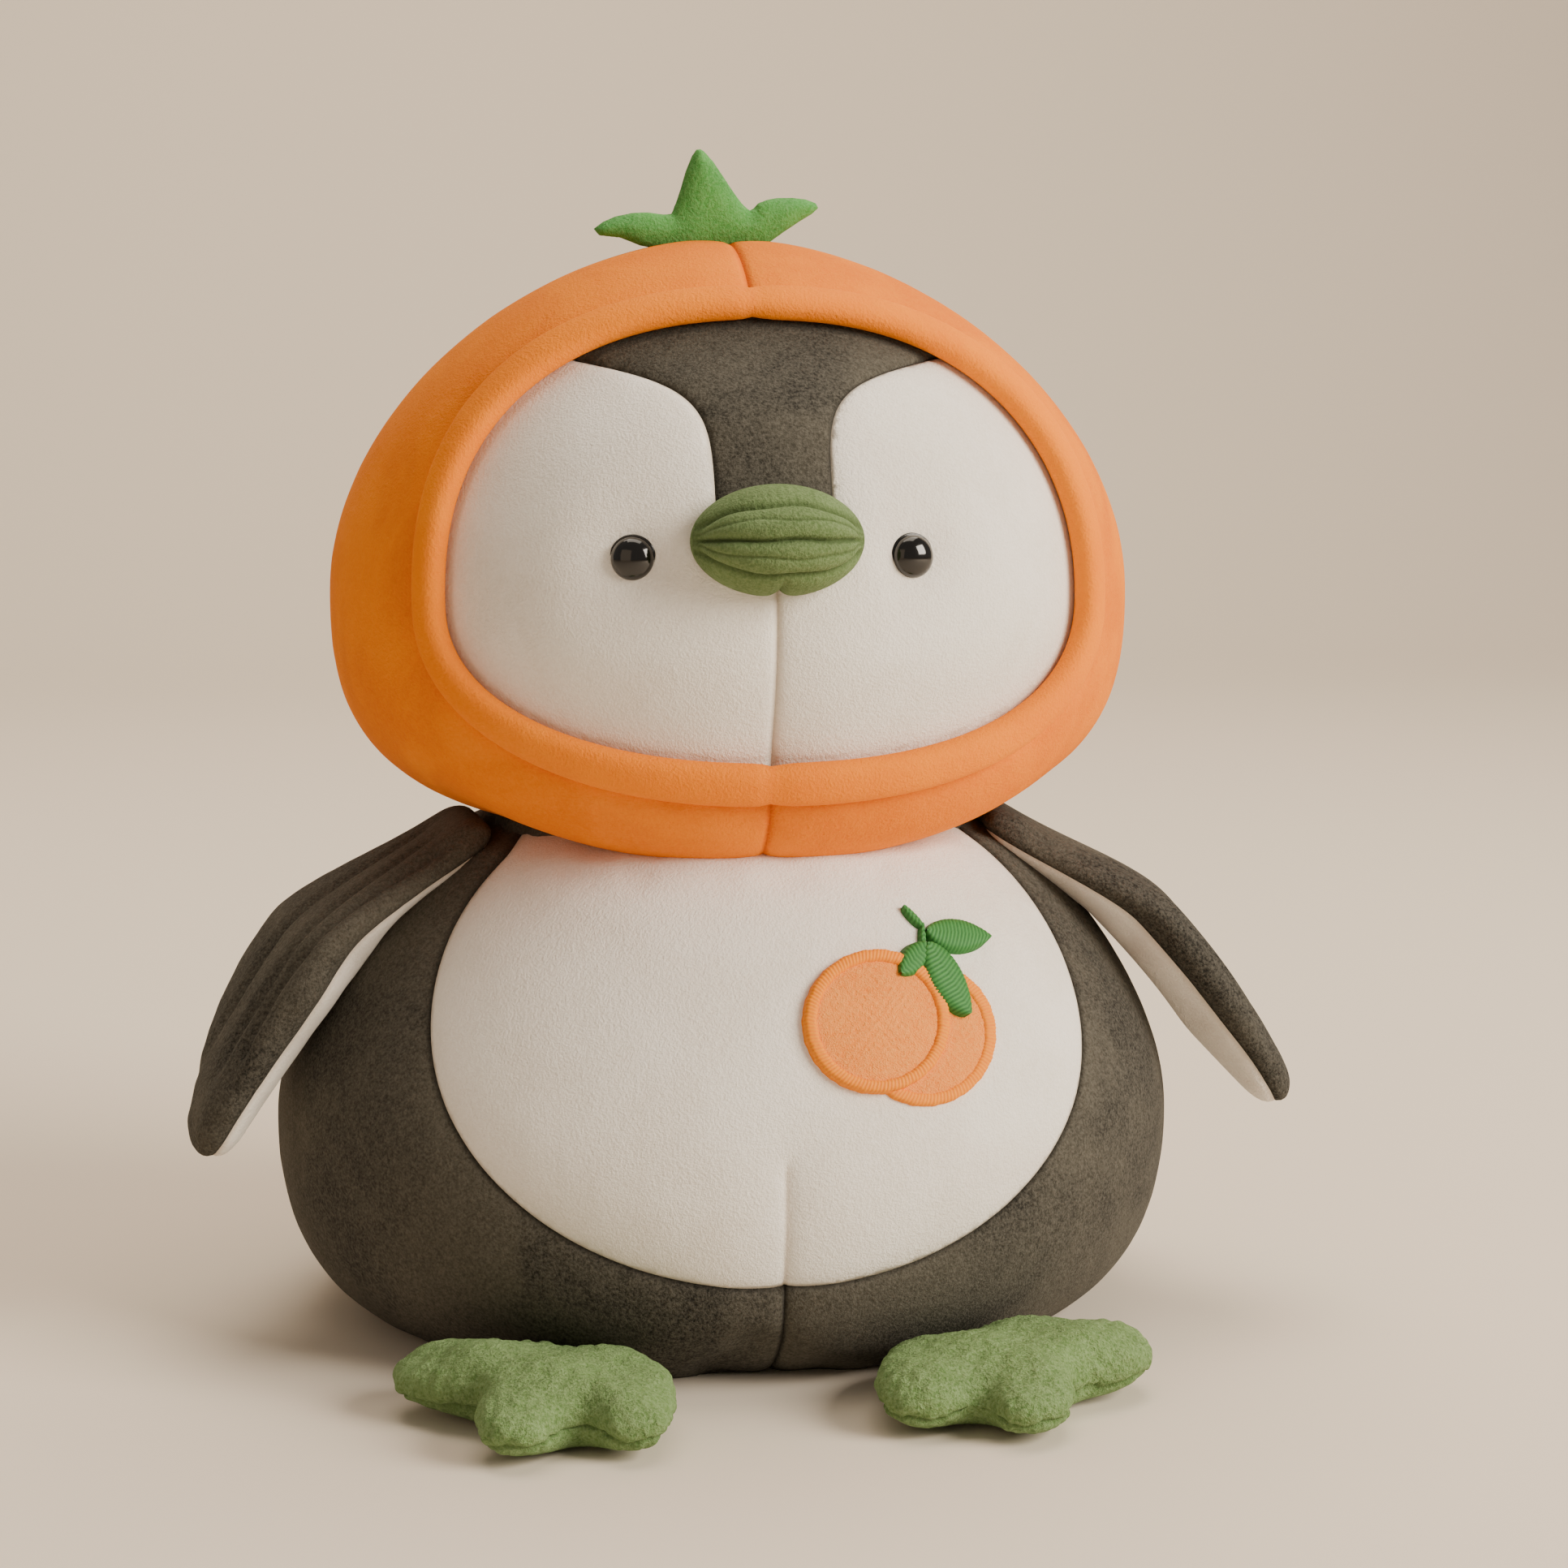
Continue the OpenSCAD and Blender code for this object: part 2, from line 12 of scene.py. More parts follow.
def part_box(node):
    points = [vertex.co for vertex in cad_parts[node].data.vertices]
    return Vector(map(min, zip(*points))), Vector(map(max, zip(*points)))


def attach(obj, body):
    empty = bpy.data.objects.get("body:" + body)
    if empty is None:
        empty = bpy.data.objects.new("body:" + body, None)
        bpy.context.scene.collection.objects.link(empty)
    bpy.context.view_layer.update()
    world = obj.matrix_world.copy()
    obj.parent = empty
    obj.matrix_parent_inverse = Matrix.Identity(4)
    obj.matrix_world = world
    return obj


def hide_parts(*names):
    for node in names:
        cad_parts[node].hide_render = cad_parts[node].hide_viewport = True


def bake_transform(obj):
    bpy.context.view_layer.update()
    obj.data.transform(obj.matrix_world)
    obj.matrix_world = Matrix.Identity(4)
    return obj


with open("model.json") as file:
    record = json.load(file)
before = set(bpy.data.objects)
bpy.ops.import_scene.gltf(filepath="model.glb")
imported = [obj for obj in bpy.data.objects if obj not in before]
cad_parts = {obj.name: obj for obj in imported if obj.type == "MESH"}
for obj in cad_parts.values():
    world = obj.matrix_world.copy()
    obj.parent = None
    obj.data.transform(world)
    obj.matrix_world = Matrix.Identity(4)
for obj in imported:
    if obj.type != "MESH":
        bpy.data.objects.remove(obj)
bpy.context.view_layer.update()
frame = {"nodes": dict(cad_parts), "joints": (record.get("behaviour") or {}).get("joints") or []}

# ---- Camera, floor and light ----
# The toy sits on a plain pale floor. A wide soft window light comes from its left hand, and the
# room gives back a warm, weaker light from the other side.
CAMERA_TURN = math.radians(-9)
CAMERA_RISE = math.radians(7)
CAMERA_AWAY = 0.94
LENS_MM = 70
FLOOR_LENGTH, WALL_HEIGHT = 14.0, 5.0
WALL_AWAY, WALL_CURVE = 2.2, 1.2
aim = Vector((0.017, -0.003, 0.160))
toward_camera = Vector((math.sin(CAMERA_TURN) * math.cos(CAMERA_RISE),
                        -math.cos(CAMERA_TURN) * math.cos(CAMERA_RISE), math.sin(CAMERA_RISE)))
bpy.ops.object.select_all(action="DESELECT")
bpy.ops.object.camera_add(location=aim + toward_camera * CAMERA_AWAY)
camera = bpy.context.object
camera.rotation_euler = (-toward_camera).to_track_quat("-Z", "Y").to_euler()
camera.data.lens = LENS_MM
camera.data.clip_start = 0.01
bpy.context.scene.camera = camera


def linear(hex_colour):
    """Turns an sRGB hex colour into the linear colour that a socket holds."""
    parts = [int(hex_colour[i:i + 2], 16) / 255 for i in (1, 3, 5)]
    return tuple(c / 12.92 if c <= 0.04045 else ((c + 0.055) / 1.055) ** 2.4 for c in parts) + (1.0,)


def add(tree, kind, values=None, links=None, **settings):
    """Adds a shader node with its settings, its socket values and its links."""
    node = tree.nodes.new(kind)
    for name, setting in settings.items():
        setattr(node, name, setting)
    for socket, value in (values or {}).items():
        node.inputs[socket].default_value = value
    for socket, source in (links or {}).items():
        tree.links.new(source, node.inputs[socket])
    return node


def soft_light(name, place, target, size, watts, colour):
    """Hangs a square soft light that looks at a point."""
    bpy.ops.object.light_add(type="AREA", location=place)
    lamp = bpy.context.object
    lamp.name = name
    lamp.rotation_euler = (Vector(place) - Vector(target)).to_track_quat("Z", "Y").to_euler()
    lamp.data.size = size
    lamp.data.energy = watts
    lamp.data.color = linear(colour)[:3]


soft_light("window", (1.7, -1.15, 1.15), (0, 0, 0.17), 1.2, 84, "#FFF4E4")
soft_light("room", (-1.5, -1.6, 0.8), (0, 0, 0.17), 1.6, 5, "#FFDFBA")
soft_light("ceiling", (0.1, 0.3, 1.9), (0, 0, 0.2), 1.4, 20, "#FFF1DE")
soft_light("wall_wash", (0.0, 1.2, 2.6), (0, 3.2, 0.6), 2.0, 60, "#FFF0DC")

world = bpy.data.worlds.new("pale_room")
bpy.context.scene.world = world
world.use_nodes = True
world.node_tree.nodes["Background"].inputs["Color"].default_value = linear("#E9DFD2")
world.node_tree.nodes["Background"].inputs["Strength"].default_value = 0.345

bpy.ops.mesh.primitive_grid_add(x_subdivisions=2, y_subdivisions=96, size=1)
floor = bpy.context.object
floor.name = "floor"
for corner in floor.data.vertices:
    # A board that lies flat under the toy and curves up into the wall behind it
    run = (corner.co.y + 0.5) * (FLOOR_LENGTH + WALL_HEIGHT) - FLOOR_LENGTH / 2
    bend = min(max((run - WALL_AWAY) / WALL_CURVE, 0), math.pi / 2)
    past = max(run - WALL_AWAY - WALL_CURVE * math.pi / 2, 0)
    corner.co = (corner.co.x * FLOOR_LENGTH, min(run, WALL_AWAY) + WALL_CURVE * math.sin(bend),
                 WALL_CURVE * (1 - math.cos(bend)) + past)
floor.data.polygons.foreach_set("use_smooth", [True] * len(floor.data.polygons))
floor_paint = bpy.data.materials.new("matte_painted_board")
floor_paint.use_nodes = True
floor_shader = floor_paint.node_tree.nodes["Principled BSDF"]
floor_shader.inputs["Base Color"].default_value = linear("#E4D8C8")
floor_shader.inputs["Roughness"].default_value = 0.85
floor.data.materials.append(floor_paint)

# ---- Body ----
# The body is a pear-shaped bag of plush panels over loose polyester fibre. The form is blown up
# from the stuffing's solid as cloth, sunk along its seams, and then cut into its panels.
MM = 0.001
BODY_VOXEL = 0.0045
BODY_SWELL = 0.006
BODY_SINK = 0.009
FABRIC = 0.002
NO_SEAM = 0.05
BELLY_MIDDLE, BELLY_RISE = 0.099, 0.073
SIDE_SEAM_Y = 0.025
DART_TOP = 0.068


def select_only(obj):
    """Leaves obj as the only selected and active object."""
    bpy.ops.object.select_all(action="DESELECT")
    obj.select_set(True)
    bpy.context.view_layer.objects.active = obj


def apply_modifier(obj, kind, **settings):
    """Adds a modifier to obj and applies it."""
    select_only(obj)
    modifier = obj.modifiers.new(kind.lower(), kind)
    for name, setting in settings.items():
        setattr(modifier, name, setting)
    bpy.ops.object.modifier_apply(modifier=modifier.name)


def corners(obj):
    """Places of obj's vertices as an array."""
    flat = np.empty(len(obj.data.vertices) * 3)
    obj.data.vertices.foreach_get("co", flat)
    return flat.reshape(-1, 3)


def move_corners(obj, places):
    """Writes new places of obj's vertices."""
    obj.data.vertices.foreach_set("co", np.ascontiguousarray(places, dtype=float).ravel())
    obj.data.update()


def outward(obj):
    """Normals of obj's vertices as an array."""
    flat = np.empty(len(obj.data.vertices) * 3)
    obj.data.vertex_normals.foreach_get("vector", flat)
    return flat.reshape(-1, 3)


def from_built(name, built):
    """Turns a built mesh into a new object."""
    mesh = bpy.data.meshes.new(name)
    built.to_mesh(mesh)
    built.free()
    obj = bpy.data.objects.new(name, mesh)
    bpy.context.collection.objects.link(obj)
    return obj


def copied(name, *nodes):
    """Joins copies of CAD solids into one new object and merges their loose corners."""
    built = bmesh.new()
    for node in nodes:
        part = frame["nodes"][node]
        mesh = part.data.copy()
        mesh.transform(part.matrix_world)
        built.from_mesh(mesh)
        bpy.data.meshes.remove(mesh)
    bmesh.ops.remove_doubles(built, verts=built.verts, dist=1e-5)
    return from_built(name, built)


def fit(obj, low, high):
    """Stretches obj to fill the box from low to high."""
    places = corners(obj)
    least, most = places.min(0), places.max(0)
    move_corners(obj, (places - least) / (most - least) * (np.array(high) - np.array(low)) + np.array(low))


def stuffed(obj, voxel, cap, rounds=6, pressure=4):
    """Makes obj an even quad skin and blows it up as stuffed cloth, by no more than cap."""
    apply_modifier(obj, "REMESH", mode="VOXEL", voxel_size=voxel)
    apply_modifier(obj, "SMOOTH", factor=0.5, iterations=rounds)
    rest = corners(obj)
    cloth = obj.modifiers.new("stuffing", "CLOTH")
    cloth.settings.quality = 5
    cloth.settings.mass = 0.15
    cloth.settings.tension_stiffness = 12
    cloth.settings.compression_stiffness = 12
    cloth.settings.shear_stiffness = 5
    cloth.settings.bending_stiffness = 0.5
    cloth.settings.use_pressure = True
    cloth.settings.uniform_pressure_force = pressure
    cloth.settings.effector_weights.gravity = 0
    cloth.point_cache.frame_start = 1
    cloth.point_cache.frame_end = 20
    for step in range(1, 21):
        bpy.context.scene.frame_set(step)
    select_only(obj)
    bpy.ops.object.modifier_apply(modifier=cloth.name)
    bpy.context.scene.frame_set(1)
    move = corners(obj) - rest
    length = np.linalg.norm(move, axis=1, keepdims=True)
    move_corners(obj, rest + move * np.minimum(1, cap / np.maximum(length, 1e-9)))
    apply_modifier(obj, "SMOOTH", factor=0.5, iterations=2)


def round_off(obj, centre, reach, up, down, up_power, down_power, share):
    """Draws obj towards an egg with its own roundness above and below its widest level."""
    from_centre = corners(obj) - np.array(centre)
    across = np.hypot(from_centre[:, 0] / reach[0], from_centre[:, 1] / reach[1])
    above = from_centre[:, 2] > 0
    power = np.where(above, up_power, down_power)
    tall = np.abs(from_centre[:, 2]) / np.where(above, up, down)
    grown = (across ** power + tall ** power) ** (-1 / power)
    move_corners(obj, np.array(centre) + from_centre * (1 - share + share * grown)[:, None])


def oval_distance(x, z, middle, side, up, down, power=2.0):
    """Signed distance in the front view from an oval's edge, negative inside it."""
    height = np.where(z > middle, up, down)
    u, w = np.abs(x) / side, np.abs(z - middle) / height
    reach = np.maximum((u ** power + w ** power) ** (1 / power), 1e-6)
    slope = np.hypot(u ** (power - 1) / side, w ** (power - 1) / height) * reach ** (1 - power)
    return (reach - 1) / np.maximum(slope, 1e-6)


def smooth(value, start, end):
    """Goes from 0 at start to 1 at end, gently at both ends."""
    part = np.clip((value - start) / (end - start), 0, 1)
    return part * part * (3 - 2 * part)


def cut_on(obj, field, near=0.3):
    """Cuts obj's mesh along the line where field is zero, with close corners drawn onto it."""
    places, mesh = corners(obj), obj.data
    value = field(places)
    ends = np.empty(len(mesh.edges) * 2, dtype=np.int64)
    mesh.edges.foreach_get("vertices", ends)
    first, second = ends.reshape(-1, 2).T
    for here, there in ((first, second), (second, first)):
        crossed = value[here] * value[there] < 0
        part = np.zeros(len(here))
        part[crossed] = value[here[crossed]] / (value[here[crossed]] - value[there[crossed]])
        close = np.flatnonzero(crossed & (part < near))
        places[here[close]] += part[close, None] * (places[there[close]] - places[here[close]])
        value[here[close]] = 0
    move_corners(obj, places)
    crossed = np.flatnonzero(value[first] * value[second] < 0)
    part = value[first[crossed]] / (value[first[crossed]] - value[second[crossed]])
    work = bmesh.new()
    work.from_mesh(mesh)
    work.verts.ensure_lookup_table()
    work.edges.ensure_lookup_table()
    line = [work.verts[i] for i in np.flatnonzero(value == 0)]
    chosen = [(work.edges[i], work.verts[first[i]], t) for i, t in zip(crossed, part)]
    for edge, start, t in chosen:
        line.append(bmesh.utils.edge_split(edge, start, float(t))[1])
    bmesh.ops.connect_verts(work, verts=line)
    work.to_mesh(mesh)
    work.free()
    mesh.update()


def face_centres(obj):
    """Centres of obj's faces as an array."""
    flat = np.empty(len(obj.data.polygons) * 3)
    obj.data.polygons.foreach_get("center", flat)
    return flat.reshape(-1, 3)


def panel(name, source, keep):
    """Copies the faces of source that keep marks into a panel of their own."""
    new = source.copy()
    new.data = source.data.copy()
    new.name = new.data.name = name
    bpy.context.collection.objects.link(new)
    drop = np.flatnonzero(~keep)
    work = bmesh.new()
    work.from_mesh(new.data)
    work.faces.ensure_lookup_table()
    bmesh.ops.delete(work, geom=[work.faces[i] for i in drop], context="FACES")
    work.to_mesh(new.data)
    work.free()
    return new


def write_seams(obj, distance):
    """Keeps each corner's distance from the nearest seam, which the fabric reads to paint shade along the
    seam.
    """
    layer = obj.data.attributes.get("seam") or obj.data.attributes.new("seam", "FLOAT", "POINT")
    layer.data.foreach_set("value", np.clip(distance, 0, NO_SEAM).astype(np.float32))


def groove(distance, cut, cut_wide, dip, dip_wide):
    """How far a seam pulls the cloth in: a sharp cut and a soft dip round it, sizes in mm."""
    off = np.abs(distance) / MM
    return (cut * np.exp(-off / cut_wide) + dip * np.exp(-(off / dip_wide) ** 2)) * MM


def finish_fabric(obj, material, thickness=FABRIC):
    """Smooths a panel, gives it the fabric's thickness inward, and its cloth."""
    obj.data.materials.clear()
    obj.data.materials.append(material)
    obj.data.polygons.foreach_set("use_smooth", [True] * len(obj.data.polygons))
    if thickness:
        apply_modifier(obj, "SOLIDIFY", thickness=thickness, offset=-1.0)


def plush(name, pile, deep, tips, patch_mm=34, patch_mix=0.5, clump_mm=2.2, fibre_mm=0.8,
          bump=0.5, grain=0.25, sheen=0.35, seam_shade=0.55):
    """Short-pile polyester plush: matt, with brushed patches where the pile lies another way."""
    cloth = bpy.data.materials.new(name)
    cloth.use_nodes = True
    tree = cloth.node_tree
    shader = tree.nodes["Principled BSDF"]
    place = add(tree, "ShaderNodeTexCoord").outputs["Object"]
    # Brushed patches, a few centimetres across, are a little darker or lighter
    brushed = add(tree, "ShaderNodeTexNoise", {"Scale": 1000 / patch_mm, "Detail": 3.0,
                  "Roughness": 0.55, "Distortion": 0.6}, {"Vector": place})
    patches = add(tree, "ShaderNodeMapRange", {"From Min": 0.40, "From Max": 0.60},
                  {"Value": brushed.outputs["Fac"]})
    # Clumps of pile and single fibre tips
    clumps = add(tree, "ShaderNodeTexNoise", {"Scale": 1000 / clump_mm, "Detail": 2.0,
                 "Roughness": 0.6}, {"Vector": place})
    fibres = add(tree, "ShaderNodeTexNoise", {"Scale": 1000 / fibre_mm, "Detail": 2.0,
                 "Roughness": 0.7}, {"Vector": place})
    height = add(tree, "ShaderNodeMath", {0: 0.5}, {1: clumps.outputs["Fac"], 2: fibres.outputs["Fac"]},
                 operation="MULTIPLY_ADD")
    shade = add(tree, "ShaderNodeMapRange", {"From Min": 0.55, "From Max": 0.95, "To Min": 0.0,
                "To Max": 1.0}, {"Value": height.outputs["Value"]})
    base = add(tree, "ShaderNodeMix", {6: linear(deep), 7: linear(pile)},
               {0: patches.outputs["Result"]}, data_type="RGBA")
    soften = add(tree, "ShaderNodeMix", {0: 1 - patch_mix, 7: linear(pile)}, {6: base.outputs[2]},
                 data_type="RGBA")
    speck = add(tree, "ShaderNodeMath", {1: grain}, {0: shade.outputs["Result"]}, operation="MULTIPLY")
    tipped = add(tree, "ShaderNodeMix", {7: linear(tips)},
                 {0: speck.outputs["Value"], 6: soften.outputs[2]}, data_type="RGBA")
    # A narrow line of painted shade darkens the cloth along each seam, where the pile closes over it
    seam = add(tree, "ShaderNodeAttribute", attribute_name="seam")
    line = add(tree, "ShaderNodeMapRange", {"From Min": 0.0, "From Max": 1.6 * MM,
               "To Min": seam_shade, "To Max": 0.0}, {"Value": seam.outputs["Fac"]},
               interpolation_type="SMOOTHSTEP")
    sewn = add(tree, "ShaderNodeMix", {7: linear(deep)}, {0: line.outputs["Result"],
               6: tipped.outputs[2]}, data_type="RGBA")
    relief = add(tree, "ShaderNodeBump", {"Strength": bump, "Distance": 0.9 * MM},
                 {"Height": height.outputs["Value"]})
    tree.links.new(sewn.outputs[2], shader.inputs["Base Color"])
    tree.links.new(relief.outputs["Normal"], shader.inputs["Normal"])
    shader.inputs["Roughness"].default_value = 0.92
    shader.inputs["Specular IOR Level"].default_value = 0.2
    shader.inputs["Sheen Weight"].default_value = sheen
    shader.inputs["Sheen Roughness"].default_value = 0.45
    shader.inputs["Sheen Tint"].default_value = linear(tips)
    return cloth


# Grey plush reads soft and velvety, with large darker marks where a hand brushed the pile
grey_plush = plush("short_pile_plush_grey", "#413E36", "#191815", "#78746A", patch_mix=0.95,
                   patch_mm=52, clump_mm=1.7, grain=0.40, sheen=0.10)
# White plush is even and chalky, with a warm shade between its fibres and a stronger painted shade along its
# seams
white_plush = plush("short_pile_plush_white", "#EDE7DE", "#D2C6B6", "#FBF8F2", patch_mix=0.3,
                    grain=0.4, sheen=0.25, seam_shade=0.8)


def body_seams(places):
    """Distances of places on the body from each seam; the belly's is negative on its panel."""
    x, y, z = places.T
    belly = belly_field(places)
    front = np.hypot(np.abs(x), np.maximum(z - DART_TOP, 0)) + np.where(y > 0, 1.0, 0.0)
    side = np.abs(y - SIDE_SEAM_Y)
    back = np.abs(x) + np.where(y < SIDE_SEAM_Y, 1.0, 0.0)
    base = np.abs(np.hypot(x, y) - base_half) + np.where(z > 0.02, 1.0, 0.0)
    return belly, front, side, back, base


belly_low, belly_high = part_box("belly_panel")
side_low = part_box("side_panel_left")[0]
back_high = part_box("back_panel_right")[1]
belly_half = belly_high[0]
belly_drop = BELLY_MIDDLE - belly_low[2]
base_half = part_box("base_panel")[1][0]


def belly_field(places):
    """Signed distance from the belly panel's edge, negative on the panel."""
    x, y, z = places.T
    edge = oval_distance(x, z, BELLY_MIDDLE, belly_half, BELLY_RISE, belly_drop)
    return np.maximum(edge, y)


def base_field(places):
    """Signed distance from the base panel's edge, negative on the panel."""
    return np.maximum(np.hypot(places[:, 0], places[:, 1]) - base_half, places[:, 2] - 0.03)


body_form = copied("body_form", "body_stuffing")
stuffed(body_form, BODY_VOXEL, BODY_SWELL)
fit(body_form, (side_low[0], side_low[1], -BODY_SINK), (back_high[0], back_high[1], back_high[2] + 0.004))
apply_modifier(body_form, "SUBSURF", levels=1, render_levels=1)
for field in (belly_field, base_field, lambda p: p[:, 0], lambda p: p[:, 1] - SIDE_SEAM_Y):
    cut_on(body_form, field)
places, middles = corners(body_form), face_centres(body_form)
on_belly, on_base = belly_field(middles) < 0, base_field(middles) < 0
belly, front, side, back, base = body_seams(places)
sink = groove(belly, 1.6, 2.2, 1.6, 13) + groove(front, 1.5, 1.8, 1.2, 10)
sink += groove(side, 1.3, 2.0, 1.0, 12) + groove(back, 1.5, 2.0, 1.5, 12)
places = places - outward(body_form) * sink[:, None]
places[:, 2] = np.maximum(places[:, 2], 0)
move_corners(body_form, places)
write_seams(body_form, np.minimum.reduce([np.abs(belly), front, side, back, base]))

belly_panel = panel("belly_panel_cloth", body_form, on_belly)
finish_fabric(belly_panel, white_plush)
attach(belly_panel, "body")
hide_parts("belly_panel", "body_stuffing")

base_panel = panel("base_panel_cloth", body_form, on_base)
finish_fabric(base_panel, grey_plush)
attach(base_panel, "body")
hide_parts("base_panel")

for sign, hand in ((-1, "left"), (1, "right")):
    grey_half = ~on_base & ~on_belly & (middles[:, 0] * sign > 0)
    flank = panel(f"side_panel_cloth_{hand}", body_form, grey_half & (middles[:, 1] < SIDE_SEAM_Y))
    rear = panel(f"back_panel_cloth_{hand}", body_form, grey_half & (middles[:, 1] > SIDE_SEAM_Y))
    for cloth, node in ((flank, "side_panel"), (rear, "back_panel")):
        finish_fabric(cloth, grey_plush)
        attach(cloth, "body")
        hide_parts(f"{node}_{hand}")

# ---- Head and hood ----
# The hood is two padded orange halves sewn up the middle, closed over the head's stuffing. The
# face is white plush behind the opening, with a grey forehead that narrows to the beak.
HEAD_VOXEL = 0.0042
HEAD_SWELL = 0.006
HOOD_REST = 0.0015
FACE_SUNK = 0.005
OPENING_POWER = 2.3
OPENING_SHIFT = 0.0025
OPENING_SIDE, OPENING_UP, OPENING_DOWN = 0.0935, 0.081, 0.045
RIM_SIDE, RIM_TOP, RIM_BOTTOM = 0.0062, 0.0065, 0.0112
TUCK = 0.006
STRIPE_HALF, FOREHEAD_HALF, FOREHEAD_RISE = 0.0165, 0.050, 0.053
BEAK_RISE = 0.018

hood_low, hood_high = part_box("hood_panel_left")
head_top, head_bottom = hood_high[2], hood_low[2]
head_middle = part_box("beak_upper")[0][2] - BEAK_RISE
HEAD_WIDEST = head_middle


def opening_field(places, grow=0.0):
    """Signed distance from the face opening's edge, negative on the face."""
    x, y, z = places.T
    edge = oval_distance(x - OPENING_SHIFT, z, head_middle, OPENING_SIDE, OPENING_UP, OPENING_DOWN,
                         OPENING_POWER)
    return np.maximum(edge - grow, y)


def rim_field(places):
    """Signed distance from the rim's outer seam, negative inside it."""
    x, y, z = places.T
    edge = oval_distance(x - OPENING_SHIFT, z, head_middle, OPENING_SIDE + RIM_SIDE, OPENING_UP + RIM_TOP,
                         OPENING_DOWN + RIM_BOTTOM, OPENING_POWER)
    return np.maximum(edge, y)


def forehead_field(places):
    """Signed sideways distance from the grey forehead's edge, negative on the grey."""
    x, y, z = places.T
    rise = np.clip((z - head_middle - BEAK_RISE) / FOREHEAD_RISE, 0, 1.2)
    half = STRIPE_HALF + (FOREHEAD_HALF - STRIPE_HALF) * rise ** 6
    return np.maximum(np.abs(x) - half, head_middle + BEAK_RISE * 0.6 - z)


orange_plush = plush("short_pile_plush_orange", "#F08000", "#D66200", "#FFA828", patch_mix=0.5,
                     grain=0.2, sheen=0.05)

head_form = copied("head_form", "head_stuffing")
select_only(head_form)
bpy.ops.object.mode_set(mode="EDIT")
bpy.ops.mesh.select_all(action="SELECT")
bpy.ops.mesh.convex_hull()
bpy.ops.object.mode_set(mode="OBJECT")
stuffed(head_form, HEAD_VOXEL, HEAD_SWELL, rounds=10)
fit(head_form, (hood_low[0], -hood_high[1], head_bottom), (-hood_low[0], hood_high[1], head_top))
round_off(head_form, (0, 0, HEAD_WIDEST), (-hood_low[0], hood_high[1]), head_top - HEAD_WIDEST,
          HEAD_WIDEST - head_bottom, 1.85, 3.0, 0.82)
# The hood's front sags a little over the belly, and its left cheek is the fuller one
places = corners(head_form)
sag = smooth(-places[:, 1], 0.030, 0.080) * (1 - smooth(places[:, 2], 0.152, 0.205))
places[:, 2] -= 0.013 * sag
places[:, 0] += 0.0018 * smooth(places[:, 0], 0.0, 0.115)
places[:, 2] = np.maximum(places[:, 2], head_bottom - HOOD_REST)
move_corners(head_form, places)
apply_modifier(head_form, "SUBSURF", levels=1, render_levels=1)


def surface(obj):
    """A tree of obj's faces to lay other pieces on."""
    return BVHTree.FromPolygons([v.co for v in obj.data.vertices], [p.vertices[:] for p in obj.data.polygons])


head_tree = surface(head_form)
face_form = head_form.copy()
face_form.data = head_form.data.copy()
face_form.name = "face_form"
bpy.context.collection.objects.link(face_form)

cut_on(head_form, rim_field)
cut_on(head_form, lambda p: p[:, 0])
places, middles = corners(head_form), face_centres(head_form)
in_hood = rim_field(middles) > 0
rim_edge, middle = rim_field(places), np.abs(places[:, 0])
sink = groove(rim_edge, 2.0, 2.0, 0.7, 10) + groove(middle, 1.1, 1.6, 0.9, 10)
move_corners(head_form, places - outward(head_form) * sink[:, None])
write_seams(head_form, np.minimum(np.abs(rim_edge), middle))
for sign, hand in ((-1, "left"), (1, "right")):
    hood = panel(f"hood_cloth_{hand}", head_form, in_hood & (middles[:, 0] * sign > 0))
    finish_fabric(hood, orange_plush)
    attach(hood, "head")
    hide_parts(f"hood_panel_{hand}", *(["head_stuffing"] if sign < 0 else []))

# The face swells between the opening's edge, the eyes and the seams
eye_places = [Vector([(a + b) / 2 for a, b in zip(*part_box(f"eye_{hand}"))]) for hand in ("left", "right")]
for field in (lambda p: opening_field(p, TUCK), forehead_field, lambda p: p[:, 0]):
    cut_on(face_form, field)
places, middles = corners(face_form), face_centres(face_form)
in_opening, in_forehead = opening_field(middles, TUCK) < 0, forehead_field(middles) < 0
inside = -opening_field(places)
forehead, middle = np.abs(forehead_field(places)), np.abs(places[:, 0])
low_seam = middle + np.where(places[:, 2] > head_middle + BEAK_RISE, 1.0, 0.0)
sink = FACE_SUNK * (1 - smooth(inside, -0.002, 0.034))
sink += groove(forehead, 1.0, 1.6, 0.6, 8) + groove(low_seam, 1.3, 1.6, 1.4, 11)
for eye in eye_places:
    away = np.hypot(places[:, 0] - eye.x, places[:, 2] - eye.z)
    sink += 2.6 * np.exp(-(away / 0.011) ** 2) * MM
move_corners(face_form, places - outward(face_form) * sink[:, None])
write_seams(face_form, np.minimum(np.minimum(forehead, low_seam), np.abs(inside)))

forehead_cloth = panel("forehead_cloth", face_form, in_opening & in_forehead)
finish_fabric(forehead_cloth, grey_plush)
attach(forehead_cloth, "head")
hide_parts("forehead_panel")
for sign, hand in ((-1, "left"), (1, "right")):
    face = panel(f"face_cloth_{hand}", face_form,
                 in_opening & ~in_forehead & (middles[:, 0] * sign > 0))
    finish_fabric(face, white_plush)
    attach(face, "head")
    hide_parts(f"face_panel_{hand}")


# ---- Padded rim of the hood ----
# A stuffed roll of the same orange plush runs round the opening. Its outer edge is sewn to the
# hood, and its inner edge rolls over the face.
RIM_STEPS, RIM_SIDES = 300, 32
RIM_THICK = 0.0080
RIM_SUNK = 0.0006
rim_plush = plush("short_pile_plush_bright_orange", "#F68600", "#E46E00", "#FFA620", patch_mix=0.35,
                  grain=0.16, sheen=0.0)


